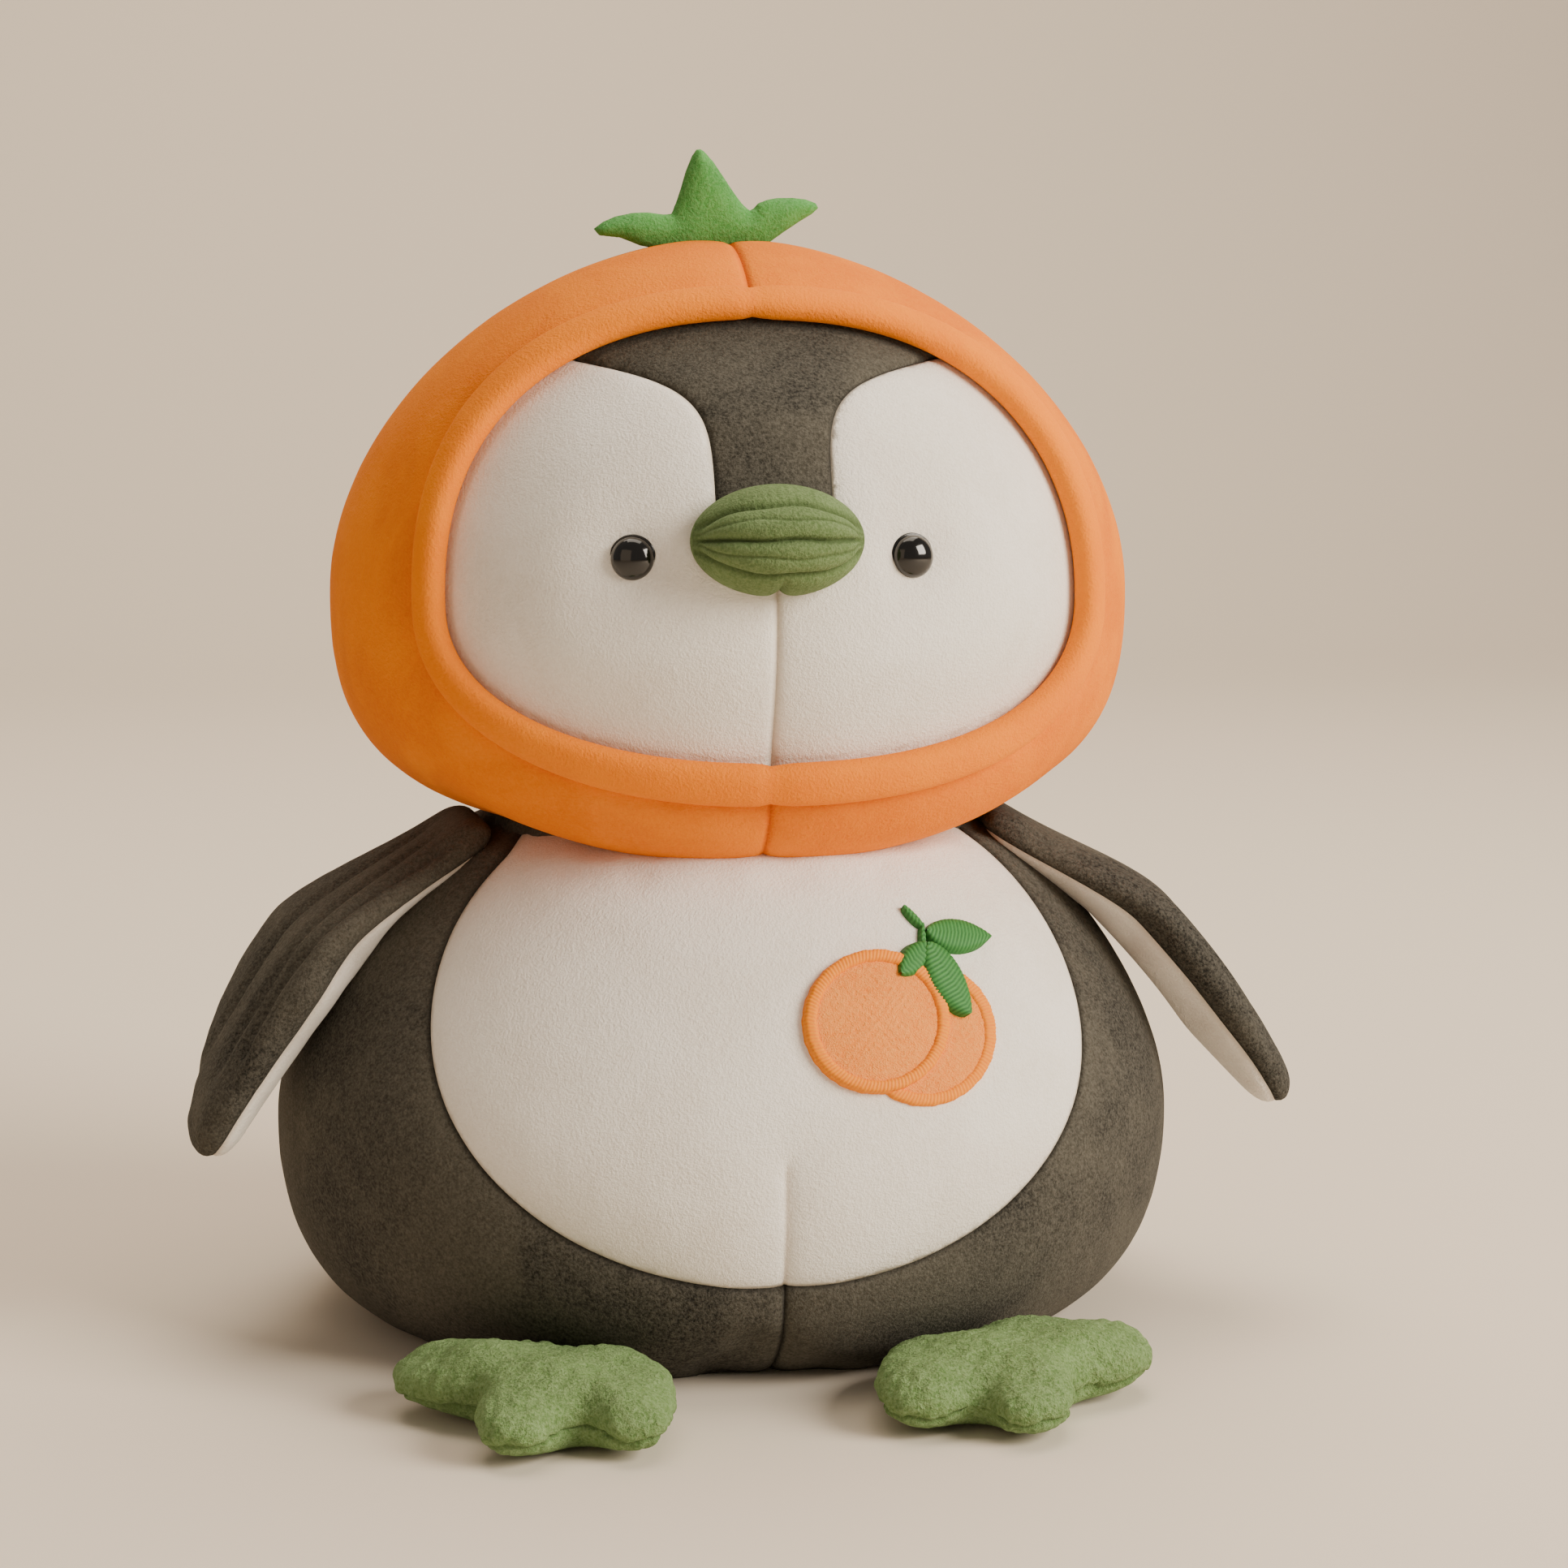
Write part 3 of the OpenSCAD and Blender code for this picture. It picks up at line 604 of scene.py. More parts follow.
def oval_point(angle, side, up, down, power=OPENING_POWER):
    """A point on an oval round the head's middle, in the front view."""
    c, s = math.cos(angle), math.sin(angle)
    return (OPENING_SHIFT + math.copysign(abs(c) ** (2 / power), c) * side,
            head_middle + math.copysign(abs(s) ** (2 / power), s) * (up if s > 0 else down))


def on_front(tree, x, z):
    """The point and the normal of a form's front at a place in the front view."""
    spot, normal, _, _ = tree.ray_cast(Vector((x, -1.0, z)), Vector((0, 1, 0)))
    return spot, normal


def swept(name, rings, closed=False):
    """Skins a row of rings into a closed mesh."""
    built = bmesh.new()
    rows = [[built.verts.new(p) for p in ring] for ring in rings]
    sides = len(rows[0])
    following = rows[1:] + rows[:1] if closed else rows[1:]
    for row, after in zip(rows, following):
        for k in range(sides):
            built.faces.new((row[k], row[(k + 1) % sides], after[(k + 1) % sides], after[k]))
    if not closed:
        built.faces.new(rows[0])
        built.faces.new(rows[-1])
    bmesh.ops.recalc_face_normals(built, faces=built.faces)
    return from_built(name, built)


rim_rings = []
for step in range(RIM_STEPS):
    angle = -math.pi / 2 + 2 * math.pi * step / RIM_STEPS
    spot_in, normal_in = on_front(head_tree, *oval_point(angle, OPENING_SIDE, OPENING_UP, OPENING_DOWN))
    spot_out, normal_out = on_front(head_tree, *oval_point(
        angle, OPENING_SIDE + RIM_SIDE, OPENING_UP + RIM_TOP, OPENING_DOWN + RIM_BOTTOM))
    across = (spot_out - spot_in).normalized()
    half_wide = (spot_out - spot_in).length / 2 + 0.0003
    normal = (normal_in + normal_out).normalized()
    normal = (normal - across * normal.dot(across)).normalized()
    centre = (spot_in + spot_out) / 2 - normal * RIM_SUNK
    ring = []
    for k in range(RIM_SIDES):
        c, t = math.cos(2 * math.pi * k / RIM_SIDES), math.sin(2 * math.pi * k / RIM_SIDES)
        ring.append(centre + across * math.copysign(abs(c) ** 0.8, c) * half_wide
                    + normal * math.copysign(abs(t) ** 0.8, t) * RIM_THICK / 2)
    rim_rings.append(ring)
rim_roll = swept("rim_roll", rim_rings, closed=True)
places = corners(rim_roll)
write_seams(rim_roll, np.abs(places[:, 0]))
places -= outward(rim_roll) * (1.2 * np.exp(-np.abs(places[:, 0]) / 0.0022) * MM)[:, None]
move_corners(rim_roll, places)
finish_fabric(rim_roll, rim_plush, 0)
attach(rim_roll, "head")
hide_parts("hood_rim_left", "hood_rim_right")

# ---- Beak ----
# A small stuffed bill of sage plush is sewn to the face with three rows of gathers, which leave
# deep folds across it that run together at its two corners.
beak_low, beak_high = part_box("beak_upper")
beak_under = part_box("beak_lower")[0]
BEAK_BACK = 0.006
FOLDS = ((0.74, 2.1), (0.46, 0.7), (0.07, 2.8), (-0.28, 0.8), (-0.64, 2.0))
beak_plush = plush("short_pile_plush_sage", "#5E7548", "#34441F", "#8A9C70", patch_mix=0.35,
                   clump_mm=1.6, grain=0.35, sheen=0.15)
beak_half = (beak_high[0] - beak_low[0]) / 2
beak_tall = (beak_high[2] - beak_under[2]) / 2
beak_middle = (beak_high[2] + beak_under[2]) / 2
beak_root = beak_high[1]
bpy.ops.object.select_all(action="DESELECT")
bpy.ops.mesh.primitive_uv_sphere_add(segments=160, ring_count=110, radius=1)
beak = bpy.context.object
beak.name = "beak_cloth"
places = corners(beak)
u, v = places[:, 0].copy(), places[:, 2].copy()
deep = places[:, 1].copy()
places[:, 0] = u * beak_half * (1 + 0.03 * (1 - v * v))
places[:, 1] = beak_root + np.where(deep < 0, deep * (beak_root - beak_low[1]), deep * BEAK_BACK)
places[:, 2] = beak_middle + v * beak_tall
move_corners(beak, places)
front = smooth(-deep, -0.05, 0.35)
sink, nearest = np.zeros(len(u)), np.full(len(u), 50.0)
for height, depth in FOLDS:
    line = height * np.sqrt(np.clip(1 - (np.abs(u) / 1.02) ** 2.2, 0, 1))
    line += 0.022 * np.sin(u * 7 + height * 9) * (1 - u * u)
    gap_mm = np.abs(v - line) * beak_tall / MM
    # The distance to the nearest fold, shorter for deep folds, lets the fabric paint shade along the folds as
    # along a seam
    nearest = np.minimum(nearest, np.where(deep < 0, gap_mm * 4.2 / (1 + depth), 50))
    sink += front * depth * np.exp(-gap_mm / 0.8) + front * 0.3 * depth * np.exp(-(gap_mm / 3.2) ** 2)
pucker = 0.07 * np.sin(u * 58) * np.exp(-(u / 0.5) ** 2) * front
notch = 2.6 * np.exp(-np.abs(u) / 0.07) * smooth(-v, 0.55, 1.0)
places[:, 2] += notch * MM
move_corners(beak, places - outward(beak) * ((sink + pucker) * MM)[:, None])
write_seams(beak, nearest * MM)
finish_fabric(beak, beak_plush, 0)
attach(beak, "head")
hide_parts("beak_upper", "beak_lower", "beak_stuffing")

# ---- Eyes ----
# Two black moulded domes with a thin raised rim snap onto washers behind the face.
EYE_DOME = 0.0052
EYE_SPAN = 0.078
EYE_FLANGE = 1.06
face_tree = surface(face_form)
eye_plastic = bpy.data.materials.new("glossy_black_plastic")
eye_plastic.use_nodes = True
shader = eye_plastic.node_tree.nodes["Principled BSDF"]
shader.inputs["Base Color"].default_value = linear("#0B0908")
shader.inputs["Roughness"].default_value = 0.12
shader.inputs["Specular IOR Level"].default_value = 0.5
shader.inputs["Coat Weight"].default_value = 0.4
shader.inputs["Coat Roughness"].default_value = 0.05
# Slight waves in the moulding break up the highlight
place = add(eye_plastic.node_tree, "ShaderNodeTexCoord").outputs["Object"]
waves = add(eye_plastic.node_tree, "ShaderNodeTexNoise", {"Scale": 260.0, "Detail": 2.0}, {"Vector": place})
moulded = add(eye_plastic.node_tree, "ShaderNodeBump", {"Strength": 0.06, "Distance": 0.2 * MM},
              {"Height": waves.outputs["Fac"]})
eye_plastic.node_tree.links.new(moulded.outputs["Normal"], shader.inputs["Normal"])
for hand, eye in zip(("left", "right"), eye_places):
    eye_radius = (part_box(f"eye_{hand}")[1][2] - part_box(f"eye_{hand}")[0][2]) / 2 * EYE_FLANGE
    sign = -1 if hand == "left" else 1
    spot, _ = on_front(face_tree, sign * EYE_SPAN / 2, eye.z)
    normal = Vector((sign * 0.28, -0.955, 0.06)).normalized()
    turn = normal.to_track_quat("Z", "Y").to_matrix()
    rings = []
    # Half section of the dome: a flat flange, a thin rim, then the dome to its pole
    section = [(0.55, -0.5), (1.02, -0.42), (1.06, -0.1), (1.04, 0.06), (0.975, 0.10), (0.95, 0.07)]
    section += [(0.95 * math.cos(a), 0.08 + 0.80 * math.sin(a)) for a in np.linspace(0.06, 1.5, 22)]
    for r, h in section:
        wide = r * eye_radius
        rings.append([spot + turn @ Vector((wide * math.cos(a), wide * math.sin(a), h * EYE_DOME))
                      for a in np.linspace(0, 2 * math.pi, 64, endpoint=False)])
    dome = swept(f"eye_dome_{hand}", rings)
    finish_fabric(dome, eye_plastic, 0)
    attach(dome, "head")
    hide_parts(f"eye_{hand}", f"eye_washer_{hand}")

# ---- Neck roll ----
# The body's top is gathered under the head, and a soft grey roll of it closes the neck.
NECK_RADIUS, NECK_ROLL = 0.067, 0.0065


def no_seams(obj):
    """Tells the fabric that obj has no seam on it."""
    write_seams(obj, np.full(len(obj.data.vertices), NO_SEAM))


def joint_place(name):
    """Where a joint turns."""
    return Vector(next(j for j in frame["joints"] if j["name"] == name)["pos_m"])


neck_height = joint_place("head_nod").z
bpy.ops.object.select_all(action="DESELECT")
bpy.ops.mesh.primitive_torus_add(major_segments=160, minor_segments=24, major_radius=NECK_RADIUS,
                                 minor_radius=NECK_ROLL)
neck = bpy.context.object
neck.name = "neck_roll"
places = corners(neck)
around = np.arctan2(places[:, 1], places[:, 0])
places[:, :2] *= 1 + (0.010 * np.sin(around * 17) + 0.008 * np.sin(around * 29 + 1))[:, None]
places[:, 1] *= 0.87
places[:, 2] = places[:, 2] * 1.15 + neck_height - 0.002
move_corners(neck, places)
no_seams(neck)
finish_fabric(neck, grey_plush, 0)
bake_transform(neck)

# ---- Fruit patch ----
# Two round fruits are sewn on the belly: peach pile inside a raised ring of orange satin stitch,
# with leaves and a stalk in green satin stitch over them.
THREAD = 0.00055
belly_tree = surface(body_form)
border_low, border_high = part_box("fruit_border_front")
second_low, second_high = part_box("fruit_border_back")
fruit_r = (border_high[0] - border_low[0]) / 2
fruit_at = Vector(((border_low[0] + border_high[0]) / 2, (border_low[2] + border_high[2]) / 2))
back_at = Vector((second_high[0] - fruit_r, (second_low[2] + second_high[2]) / 2))
BORDER = 0.0042
FRUIT_WIDE, FRUIT_TALL = 1.05, 0.90
fruit_at.x += 2 * MM
peach_pile = plush("short_pile_peach", "#FF9238", "#F07A1E", "#FFBA66", patch_mm=12, clump_mm=1.3,
                   fibre_mm=0.5, grain=0.5, bump=0.8, sheen=0.05)


def thread(name, colour, dark, light):
    """Shiny rayon embroidery thread, laid side by side, with a painted highlight along each thread's crest."""
    yarn = bpy.data.materials.new(name)
    yarn.use_nodes = True
    tree = yarn.node_tree
    shader = tree.nodes["Principled BSDF"]
    place = add(tree, "ShaderNodeTexCoord").outputs["Object"]
    uneven = add(tree, "ShaderNodeTexNoise", {"Scale": 900.0, "Detail": 3.0}, {"Vector": place})
    shade = add(tree, "ShaderNodeMix", {6: linear(dark), 7: linear(colour)},
                {0: uneven.outputs["Fac"]}, data_type="RGBA")
    # Along each thread's crest the colour is painted lighter, a painted highlight
    laid = add(tree, "ShaderNodeAttribute", attribute_name="crest_highlight")
    lit = add(tree, "ShaderNodeMix", {7: linear(light)}, {0: laid.outputs["Fac"], 6: shade.outputs[2]},
              data_type="RGBA")
    tree.links.new(lit.outputs[2], shader.inputs["Base Color"])
    shader.inputs["Roughness"].default_value = 0.6
    shader.inputs["Specular IOR Level"].default_value = 0.25
    return yarn


orange_thread = thread("rayon_thread_orange", "#FA9200", "#DE6C00", "#FFAE10")
green_thread = thread("rayon_thread_green", "#2F7434", "#174A1E", "#58A052")


def laid_on_belly(name, grid, heights, crest_highlights=None):
    """Lays a grid of front-view places on the belly at heights over it, with a closed edge under it."""
    built = bmesh.new()
    rows, lay = [], built.verts.layers.float.new("crest_highlight")
    for i, line in enumerate(grid):
        row = []
        for j, (x, z) in enumerate(line):
            spot, normal = on_front(belly_tree, x, z)
            corner = built.verts.new(spot + normal * heights[i][j])
            corner[lay] = crest_highlights[i][j] if crest_highlights is not None else 0.0
            row.append(corner)
        rows.append(row)
    for row, after in zip(rows, rows[1:]):
        for k in range(len(row) - 1):
            built.faces.new((row[k], row[k + 1], after[k + 1], after[k]))
    bmesh.ops.remove_doubles(built, verts=built.verts, dist=2e-6)
    bmesh.ops.recalc_face_normals(built, faces=built.faces)
    if sum(f.normal.y for f in built.faces) > 0:
        bmesh.ops.reverse_faces(built, faces=built.faces)
    return from_built(name, built)


def pile_disc(name, at, height):
    """Short pile that fills a ring, a little crowned."""
    around, out = np.linspace(0, 2 * math.pi, 121), np.linspace(0.002, 1, 26)
    inner = fruit_r - BORDER * 0.7
    grid = [[(at[0] + FRUIT_WIDE * inner * math.cos(a) * r, at[1] + FRUIT_TALL * inner * math.sin(a) * r)
             for a in around] for r in out]
    high = [[height * (1 - 0.22 * r ** 4) + 0.16 * MM * math.sin(41 * math.cos(a) * r + 3 * r) *
             math.sin(37 * math.sin(a) * r) for a in around] for r in out]
    return laid_on_belly(name, grid, high)


def stitched_ring(name, at, height):
    """A raised satin-stitched ring, with each thread laid across it."""
    count = int(2 * math.pi * fruit_r / THREAD / 2)
    around, across = np.linspace(0, 2 * math.pi, count * 4 + 1), np.linspace(-1, 1, 11)
    wobble = [0.00008 * math.sin(a * 23) + 0.00006 * math.sin(a * 41 + 2) for a in around]
    grid, high, crest_highlight = [], [], []
    for v in across:
        radius = fruit_r - BORDER / 2 + v * BORDER / 2
        grid.append([(at[0] + FRUIT_WIDE * math.cos(a) * (radius + w * abs(v)),
                      at[1] + FRUIT_TALL * math.sin(a) * (radius + w * abs(v)))
                     for a, w in zip(around, wobble)])
        ridge = [0.5 + 0.5 * math.cos(a * count + v * 2.5) for a in around]
        dome = math.sqrt(max(0, 1 - v ** 4 * 0.98))
        high.append([-0.0008 + (height + 0.0008) * dome + 0.00034 * k * dome for k in ridge])
        # How strongly each thread's crest is painted lighter, as a painted highlight
        crest_highlight.append([0.40 * k * dome for k in ridge])
    return laid_on_belly(name, grid, high, crest_highlight)


def stitched_leaf(start, end, wide, height, blunt=0.75):
    """A satin-stitched leaf from its stalk end to its tip, with slanting threads."""
    start, end = np.array(start), np.array(end)
    along = end - start
    length = np.linalg.norm(along)
    along = along / length
    side = np.array((-along[1], along[0]))
    count = max(6, int(length / THREAD / 2))
    grid, high, crest_highlight = [], [], []
    for v in np.linspace(-1, 1, 13):
        us = np.linspace(0, 1, count * 4 + 1)
        half = wide / 2 * np.maximum(0.02, np.sin(math.pi * us ** 0.9)) ** blunt
        grid.append([tuple(start + along * u * length + side * v * h) for u, h in zip(us, half)])
        ridge = 0.5 + 0.5 * np.cos(2 * math.pi * count * us + abs(v) * 5)
        dome = math.sqrt(max(0, 1 - v ** 4 * 0.98))
        high.append(list(-0.0006 + (height + 0.0006) * dome + 0.00025 * ridge * dome))
        # How strongly each thread's crest is painted lighter, as a painted highlight
        crest_highlight.append(list(0.6 * ridge * dome))
    return laid_on_belly("stitched_leaf", grid, high, crest_highlight)


def sewn_on(obj, name, material, slot, *nodes):
    """Names a patch piece, gives it its thread or pile, and fixes it on the body."""
    obj.name = name
    if obj.data.attributes.get("seam") is None:
        no_seams(obj)
    finish_fabric(obj, material, 0)
    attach(obj, "body")
    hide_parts(*nodes)


def joined(name, *objs):
    """Joins several new objects into one."""
    bpy.ops.object.select_all(action="DESELECT")
    for obj in objs:
        obj.select_set(True)
    bpy.context.view_layer.objects.active = objs[0]
    bpy.ops.object.join()
    objs[0].name = name
    return objs[0]


sewn_on(pile_disc("fruit_pile_back", back_at, 1.0 * MM), "fruit_pile_back", peach_pile, "peach_pile",
        "fruit_back")
sewn_on(stitched_ring("fruit_ring_back", back_at, 1.3 * MM), "fruit_ring_back", orange_thread,
        "orange_thread", "fruit_border_back")
sewn_on(pile_disc("fruit_pile_front", fruit_at, 2.2 * MM), "fruit_pile_front", peach_pile, "peach_pile",
        "fruit_front")
sewn_on(stitched_ring("fruit_ring_front", fruit_at, 2.7 * MM), "fruit_ring_front", orange_thread,
        "orange_thread", "fruit_border_front")
knot = np.array((fruit_at[0] + 0.38 * 2 * fruit_r, fruit_at[1] + 0.43 * 2 * fruit_r))
# Start, end, width and height in mm, and how blunt: two of the stalk, then three leaves
LEAVES = (((0, -1), (0.9, 6), 2.2, 1.9, 0.35), ((0.7, 5.4), (-4.4, 10.8), 2.3, 2.0, 0.35),
          ((1.4, 4.0), (21.5, 0.2), 9.0, 2.6, 0.6), ((0.6, 0.4), (11.2, -18.4), 11.5, 3.8, 0.55),
          ((0.9, 0.4), (-8.2, -6.4), 8.0, 3.4, 0.55))
leaves = [stitched_leaf(knot + np.array(a) * MM, knot + np.array(b) * MM, w * MM, h * MM, blunt)
          for a, b, w, h, blunt in LEAVES]
sewn_on(joined("fruit_leaves_stitched", *leaves), "fruit_leaves_stitched", green_thread, "green_thread",
        "fruit_leaves")

# ---- Leaf crown ----
# A small three-pointed leaf of bright green plush, two layers turned and lightly stuffed, stands
# in the hood's top seam.
LEAF_OUTLINE = ((-40.5, 328.3), (-37.5, 330.6), (-33.9, 332.2), (-28.5, 333.3), (-24.0, 333.5), (-19.5, 332.9),
                (-17.0, 333.0), (-15.7, 336.0), (-14.1, 340.9), (-12.8, 345.5), (-11.1, 349.7), (-9.6, 352.0),
                (-8.3, 352.2), (-6.4, 350.8), (-4.2, 348.3), (-1.2, 344.2), (2.0, 339.6), (4.6, 336.3),
                (6.9, 334.3), (8.0, 334.9), (9.4, 336.4), (12.0, 337.5), (15.6, 338.2), (20.0, 338.3),
                (24.2, 337.9), (27.4, 336.7), (28.2, 335.2), (26.0, 333.2), (22.0, 330.8), (18.1, 328.2),
                (15.0, 326.0), (11.9, 323.8), (6.0, 322.6), (0.0, 322.2), (-13.0, 322.2), (-22.0, 322.6),
                (-26.5, 323.4), (-32.6, 325.7), (-38.8, 326.3))
LEAF_THICK = 0.0072
leaf_plush = plush("short_pile_plush_leaf_green", "#4C9444", "#2F7030", "#86BE7A", patch_mm=14,
                   patch_mix=0.5, clump_mm=1.3, grain=0.35, sheen=0.2)
leaf_height = joint_place("leaf_flop").z


def leaf_layer(name, side):
    """One layer of the leaf, puffed up between its edges, on one side of its middle."""
    built = bmesh.new()
    ring = [built.verts.new((x * MM, 0, z * MM)) for x, z in LEAF_OUTLINE]
    edges = [built.edges.new(pair) for pair in zip(ring, ring[1:] + ring[:1])]
    bmesh.ops.triangle_fill(built, edges=edges, use_beauty=True)
    for _ in range(5):
        long = [e for e in built.edges if e.calc_length() > 0.0013]
        if long:
            bmesh.ops.subdivide_edges(built, edges=long, cuts=1)
            bmesh.ops.triangulate(built, faces=built.faces)
            inner = [e for e in built.edges if not e.is_boundary]
            bmesh.ops.beautify_fill(built, faces=built.faces, edges=inner)
    rim = np.array([v.co for v in built.verts if v.is_boundary])
    for corner in built.verts:
        away = np.hypot(rim[:, 0] - corner.co.x, rim[:, 2] - corner.co.z).min()
        puff = min(1, away / 0.0075)
        puff = math.sqrt(max(0, 1 - (1 - puff) ** 2))
        # The lobes curl forward a little, and the leaf widens into the seam it is sewn to
        curl = -0.0022 * math.cos((corner.co.x + 0.006) * 70) * (corner.co.z - leaf_height) / 0.02
        corner.co.y = side * puff * LEAF_THICK / 2 + curl
    bmesh.ops.recalc_face_normals(built, faces=built.faces)
    if sum(f.normal.y for f in built.faces) * side < 0:
        bmesh.ops.reverse_faces(built, faces=built.faces)
    obj = from_built(name, built)
    apply_modifier(obj, "SMOOTH", factor=0.4, iterations=2)
    no_seams(obj)
    return obj


for name, side, nodes in (("leaf_cloth_front", -1, ("leaf_front", "leaf_stuffing")),
                          ("leaf_cloth_back", 1, ("leaf_back",))):
    layer = leaf_layer(name, side)
    finish_fabric(layer, leaf_plush, 0)
    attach(layer, "leaf")
    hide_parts(*nodes)

# ---- Flippers ----
# Each flipper is a curved stuffed paddle, grey outside and white inside. The grey wraps most of
# the edge, and its pile lies in long soft folds from the shoulder to the tip.
FLIPPER_VOXEL = 0.004
FLIPPER_ARC = 0.121 / math.radians(24)
FLIPPER_START = math.radians(49)
FLIPPER_EDGE, FLIPPER_TIP = -0.0036, 0.0028
ROUND_THE_BODY = {"left": math.radians(12), "right": math.radians(8)}
TURNED_IN = {"left": math.radians(0.8), "right": math.radians(-2.2)}
FLIPPER_FOLDS = ((-0.010, 0.30, 4.2, 2.6), (0.010, 0.10, 3.4, 3.2), (-0.026, 0.10, 3.8, 2.4))
for sign, hand in ((-1, "left"), (1, "right")):
    pivot = joint_place(f"flipper_swing_{hand}")
    arc_x = abs(pivot.x) - FLIPPER_ARC * math.cos(FLIPPER_START)
    arc_z = pivot.z - FLIPPER_ARC * math.sin(FLIPPER_START)

    def thickness_field(p):
        """How far a place lies out of the flipper's middle surface."""
        return np.hypot(np.abs(p[:, 0]) - arc_x, p[:, 2] - arc_z) - FLIPPER_ARC

    flipper = copied(f"flipper_form_{hand}", f"flipper_stuffing_{hand}")
    apply_modifier(flipper, "REMESH", mode="VOXEL", voxel_size=FLIPPER_VOXEL)
    move_corners(flipper, corners(flipper) + outward(flipper) * 0.0035)
    stuffed(flipper, FLIPPER_VOXEL, 0.005, rounds=8)
    apply_modifier(flipper, "SUBSURF", levels=1, render_levels=1)
    places = corners(flipper)
    top = places[:, 2].max()
    out = thickness_field(places)
    run = np.clip((top - places[:, 2]) / (top - places[:, 2].min()), 0, 1)
    sink = np.zeros(len(places))
    for start_y, lean, depth, wide in FLIPPER_FOLDS:
        middle = pivot.y + start_y - lean * 0.03 * run + 0.003 * np.sin(run * 5 + start_y * 300)
        fade = smooth(run, 0.02, 0.12) * (1 - smooth(run, 0.52, 0.84))
        sink += depth * fade * np.exp(-((places[:, 1] - middle) * 1000 / wide) ** 2) * (out > 0)
    move_corners(flipper, places - outward(flipper) * (sink * MM)[:, None])

    def edge_field(p):
        """How far a place lies on the grey side of the flipper's seam, which crosses the tip."""
        return thickness_field(p) - FLIPPER_EDGE - FLIPPER_TIP * smooth(pivot.z - p[:, 2], 0.055, 0.090)

    cut_on(flipper, edge_field)
    places, on_outside = corners(flipper), edge_field(face_centres(flipper)) > 0
    edge = np.abs(edge_field(places))
    places = places - outward(flipper) * (0.9 * np.exp(-edge / 0.0016) * MM)[:, None]
    # The root narrows and runs in under the head to its seam on the body
    root = smooth(places[:, 2], top - 0.034, top)
    places[:, 0] -= sign * 0.020 * root
    places[:, 1] = pivot.y + (places[:, 1] - pivot.y) * (1 - 0.22 * root)
    # The paddle lies along the round of the body, its front edge turned in
    from_x, from_y = places[:, 0] - pivot.x, places[:, 1] - pivot.y
    twist = -sign * ROUND_THE_BODY[hand] * smooth(pivot.z - places[:, 2], -0.02, 0.03)
    places[:, 0] = pivot.x + from_x * np.cos(twist) - from_y * np.sin(twist)
    places[:, 1] = pivot.y + from_x * np.sin(twist) + from_y * np.cos(twist)
    # The wrist is turned in a little
    turn = TURNED_IN[hand] * smooth(pivot.z - places[:, 2], -0.01, 0.06)
    from_x, from_z = places[:, 0] - pivot.x, places[:, 2] - pivot.z
    places[:, 0] = pivot.x + from_x * np.cos(turn) + sign * from_z * np.sin(turn)
    places[:, 2] = pivot.z + from_z * np.cos(turn) - sign * from_x * np.sin(turn)
    move_corners(flipper, places)
    write_seams(flipper, edge)
    for name, material, slot, keep, nodes in (
            ("outer", grey_plush, "grey_plush", on_outside,
             (f"flipper_outer_{hand}", f"flipper_stuffing_{hand}")),
            ("inner", white_plush, "white_plush", ~on_outside, (f"flipper_inner_{hand}",))):
        cloth = panel(f"flipper_{name}_cloth_{hand}", flipper, keep)
        finish_fabric(cloth, material, 0)
        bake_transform(cloth)
        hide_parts(*nodes)
    bpy.data.objects.remove(flipper)

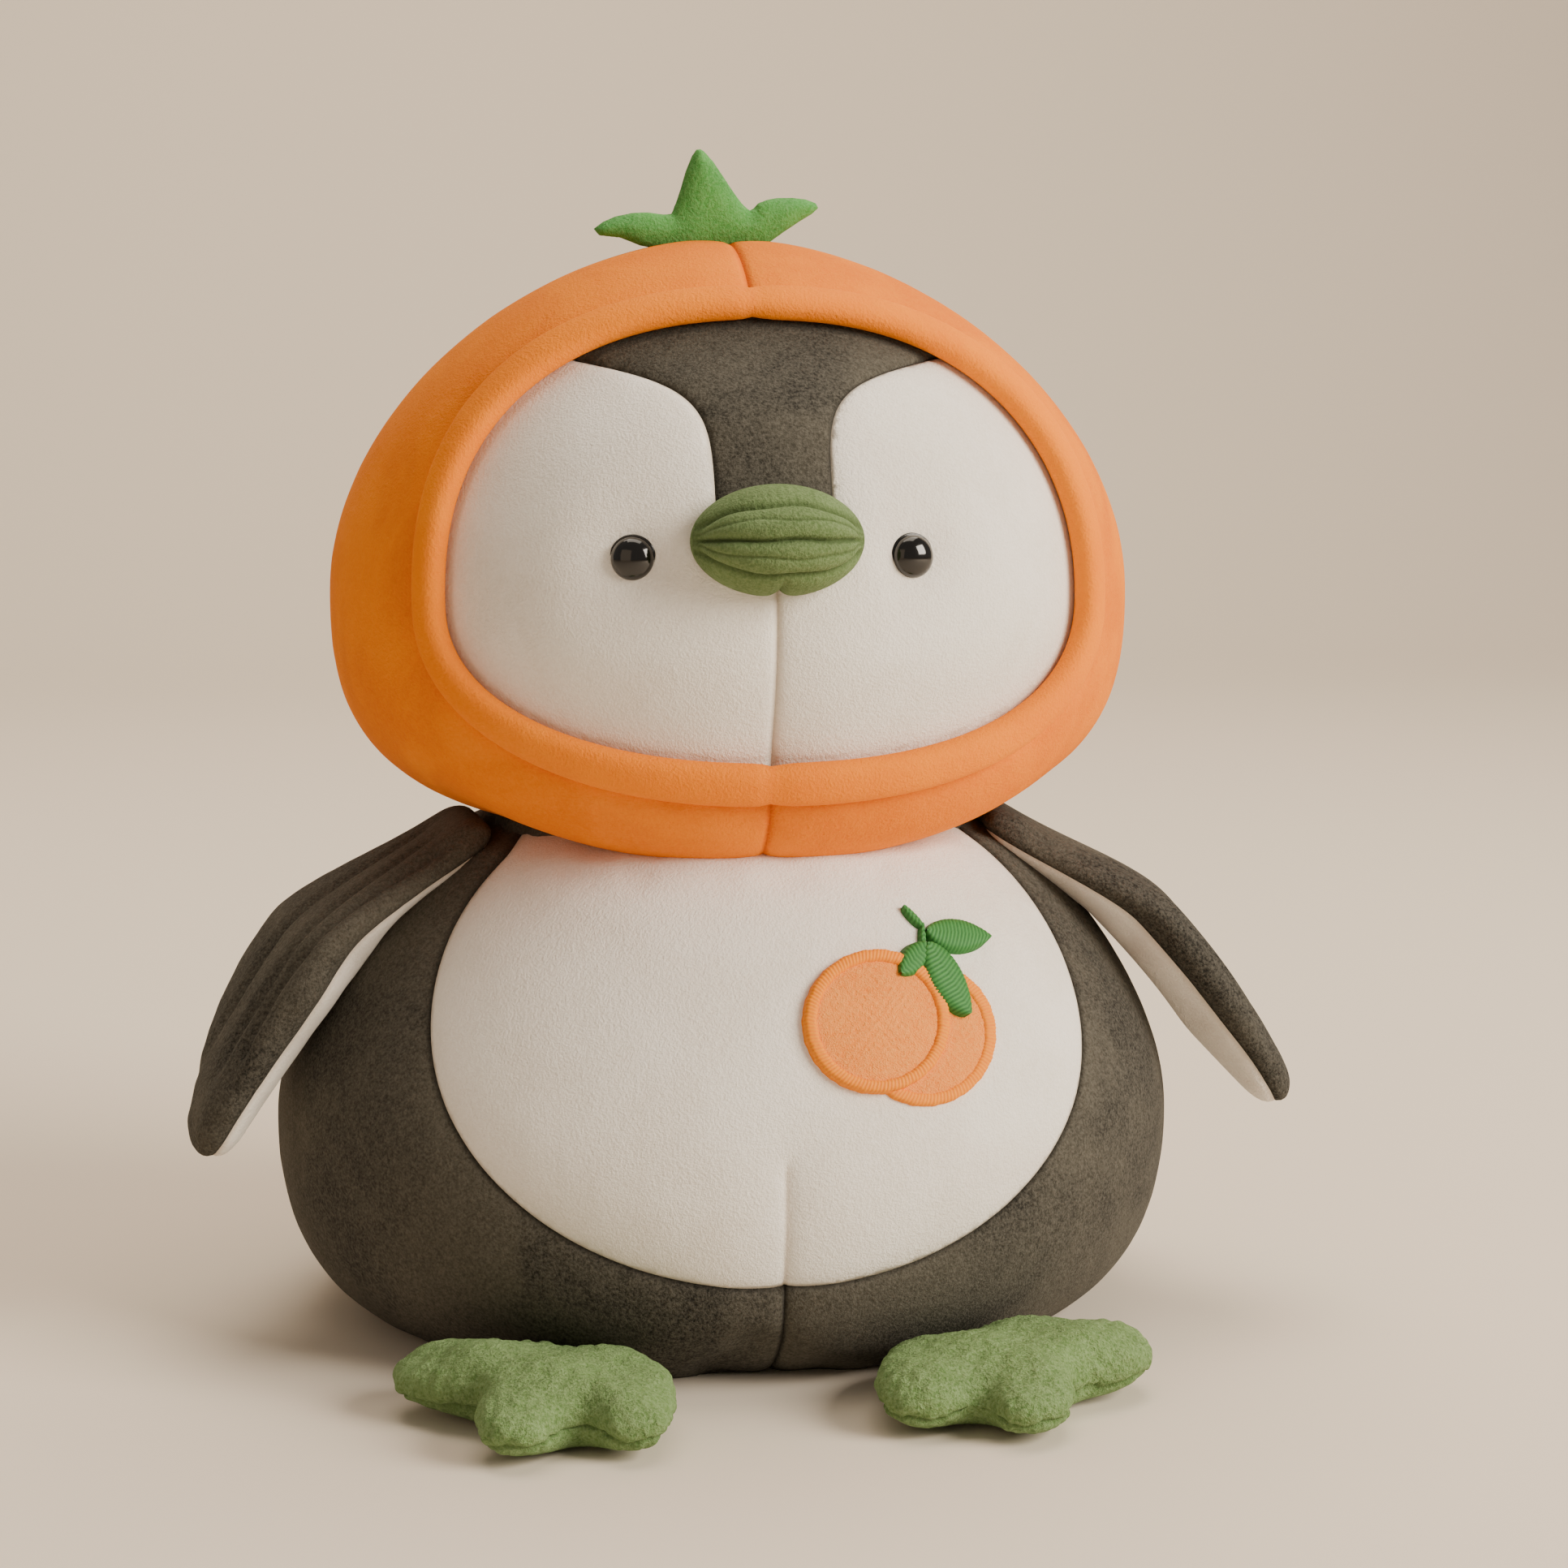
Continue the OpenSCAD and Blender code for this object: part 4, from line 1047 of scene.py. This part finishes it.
# ---- Feet ----
# The feet are flat three-toed paddles of longer green fleece, brushed outward along the toes and
# gathered into a wrinkled seam under their front edge.
FOOT_VOXEL = 0.004
TOE_GAPS, TOE_NOTCH = (216, 280), 0.0060
FOOT_TURN = -9
TOE_SIDE, TOE_FRONT = 0.046, 0.0434
foot_fleece = plush("long_pile_fleece_green", "#5E7C46", "#45602F", "#98B07E", patch_mm=22,
                    patch_mix=0.45, clump_mm=2.6, fibre_mm=0.9, bump=1.0, grain=0.55, sheen=0.2)
for sign, hand in ((-1, "left"), (1, "right")):
    foot = copied(f"foot_form_{hand}", f"foot_stuffing_{hand}")
    foot_low, foot_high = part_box(f"foot_sole_{hand}")
    top_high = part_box(f"foot_top_{hand}")[1]
    apply_modifier(foot, "REMESH", mode="VOXEL", voxel_size=FOOT_VOXEL)
    move_corners(foot, corners(foot) + outward(foot) * 0.0030)
    stuffed(foot, FOOT_VOXEL, 0.004, rounds=8)
    apply_modifier(foot, "SUBSURF", levels=2, render_levels=2)
    fit(foot, (foot_low[0] - 0.001, foot_low[1] + 0.001, 0.0),
        (foot_high[0] + 0.001, foot_high[1], top_high[2] + 0.002))
    # The pad is thick under the body and thins out to the toes
    places = corners(foot)
    thinner = 0.24 * smooth(-places[:, 1], 0.115, 0.165) + 0.20 * smooth(sign * places[:, 0], 0.09, 0.12)
    places[:, 2] *= 1 - thinner
    move_corners(foot, places)
    pivot = np.array((foot_low[0] + TOE_SIDE if sign < 0 else foot_high[0] - TOE_SIDE,
                      foot_low[1] + TOE_FRONT))
    angle = np.arctan2(places[:, 1] - pivot[1], places[:, 0] - pivot[0])
    reach = np.hypot(places[:, 0] - pivot[0], places[:, 1] - pivot[1])
    tall = places[:, 2] / (top_high[2] + 0.003)
    # The fleece is drawn in between the toes
    notch = np.zeros(len(places))
    for between in TOE_GAPS:
        toward = math.radians((between if sign < 0 else 180 - between) + FOOT_TURN)
        off = np.abs(np.angle(np.exp(1j * (angle - toward))))
        notch += np.exp(-(off * reach / 0.0052) ** 2) * smooth(reach, 0.022, 0.042)
    places = places - outward(foot) * (TOE_NOTCH * notch)[:, None]
    x, y, z = places.T
    pile = 0.35 * np.sin(angle * 38 + 3 * np.sin(reach * 260)) * np.sin(reach * 330 + 2 * np.sin(angle * 19))
    pile += 0.25 * np.sin(x * 900 + 2 * np.sin(y * 500)) * np.sin(y * 1100 + z * 900)
    pile += 1.1 * np.sin(x * 190 + 1.5) * np.sin(y * 170 + sign)
    pile *= smooth(tall, 0.06, 0.3)
    # The seam runs low along the front, with small gathers
    seam_height = 0.27 + 0.03 * np.sin(angle * 21)
    sink = 1.7 * np.exp(-np.abs(tall - seam_height) * 22 / 1.4) * (reach > 0.02)
    sink += 0.4 * np.maximum(0, np.sin(angle * 64)) * np.exp(-((tall - seam_height) / 0.16) ** 2)
    move_corners(foot, places + outward(foot) * ((pile - sink) * MM)[:, None])
    places = corners(foot)
    places[:, 2] = np.maximum(places[:, 2], 0.0002)
    move_corners(foot, places)
    write_seams(foot, np.abs(tall - seam_height) * 0.022)
    foot.name = f"foot_fleece_{hand}"
    finish_fabric(foot, foot_fleece, 0)
    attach(foot, f"foot_{hand}")
    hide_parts(f"foot_top_{hand}", f"foot_sole_{hand}", f"foot_stuffing_{hand}")

for spare in (body_form, head_form, face_form):
    bpy.data.objects.remove(spare)
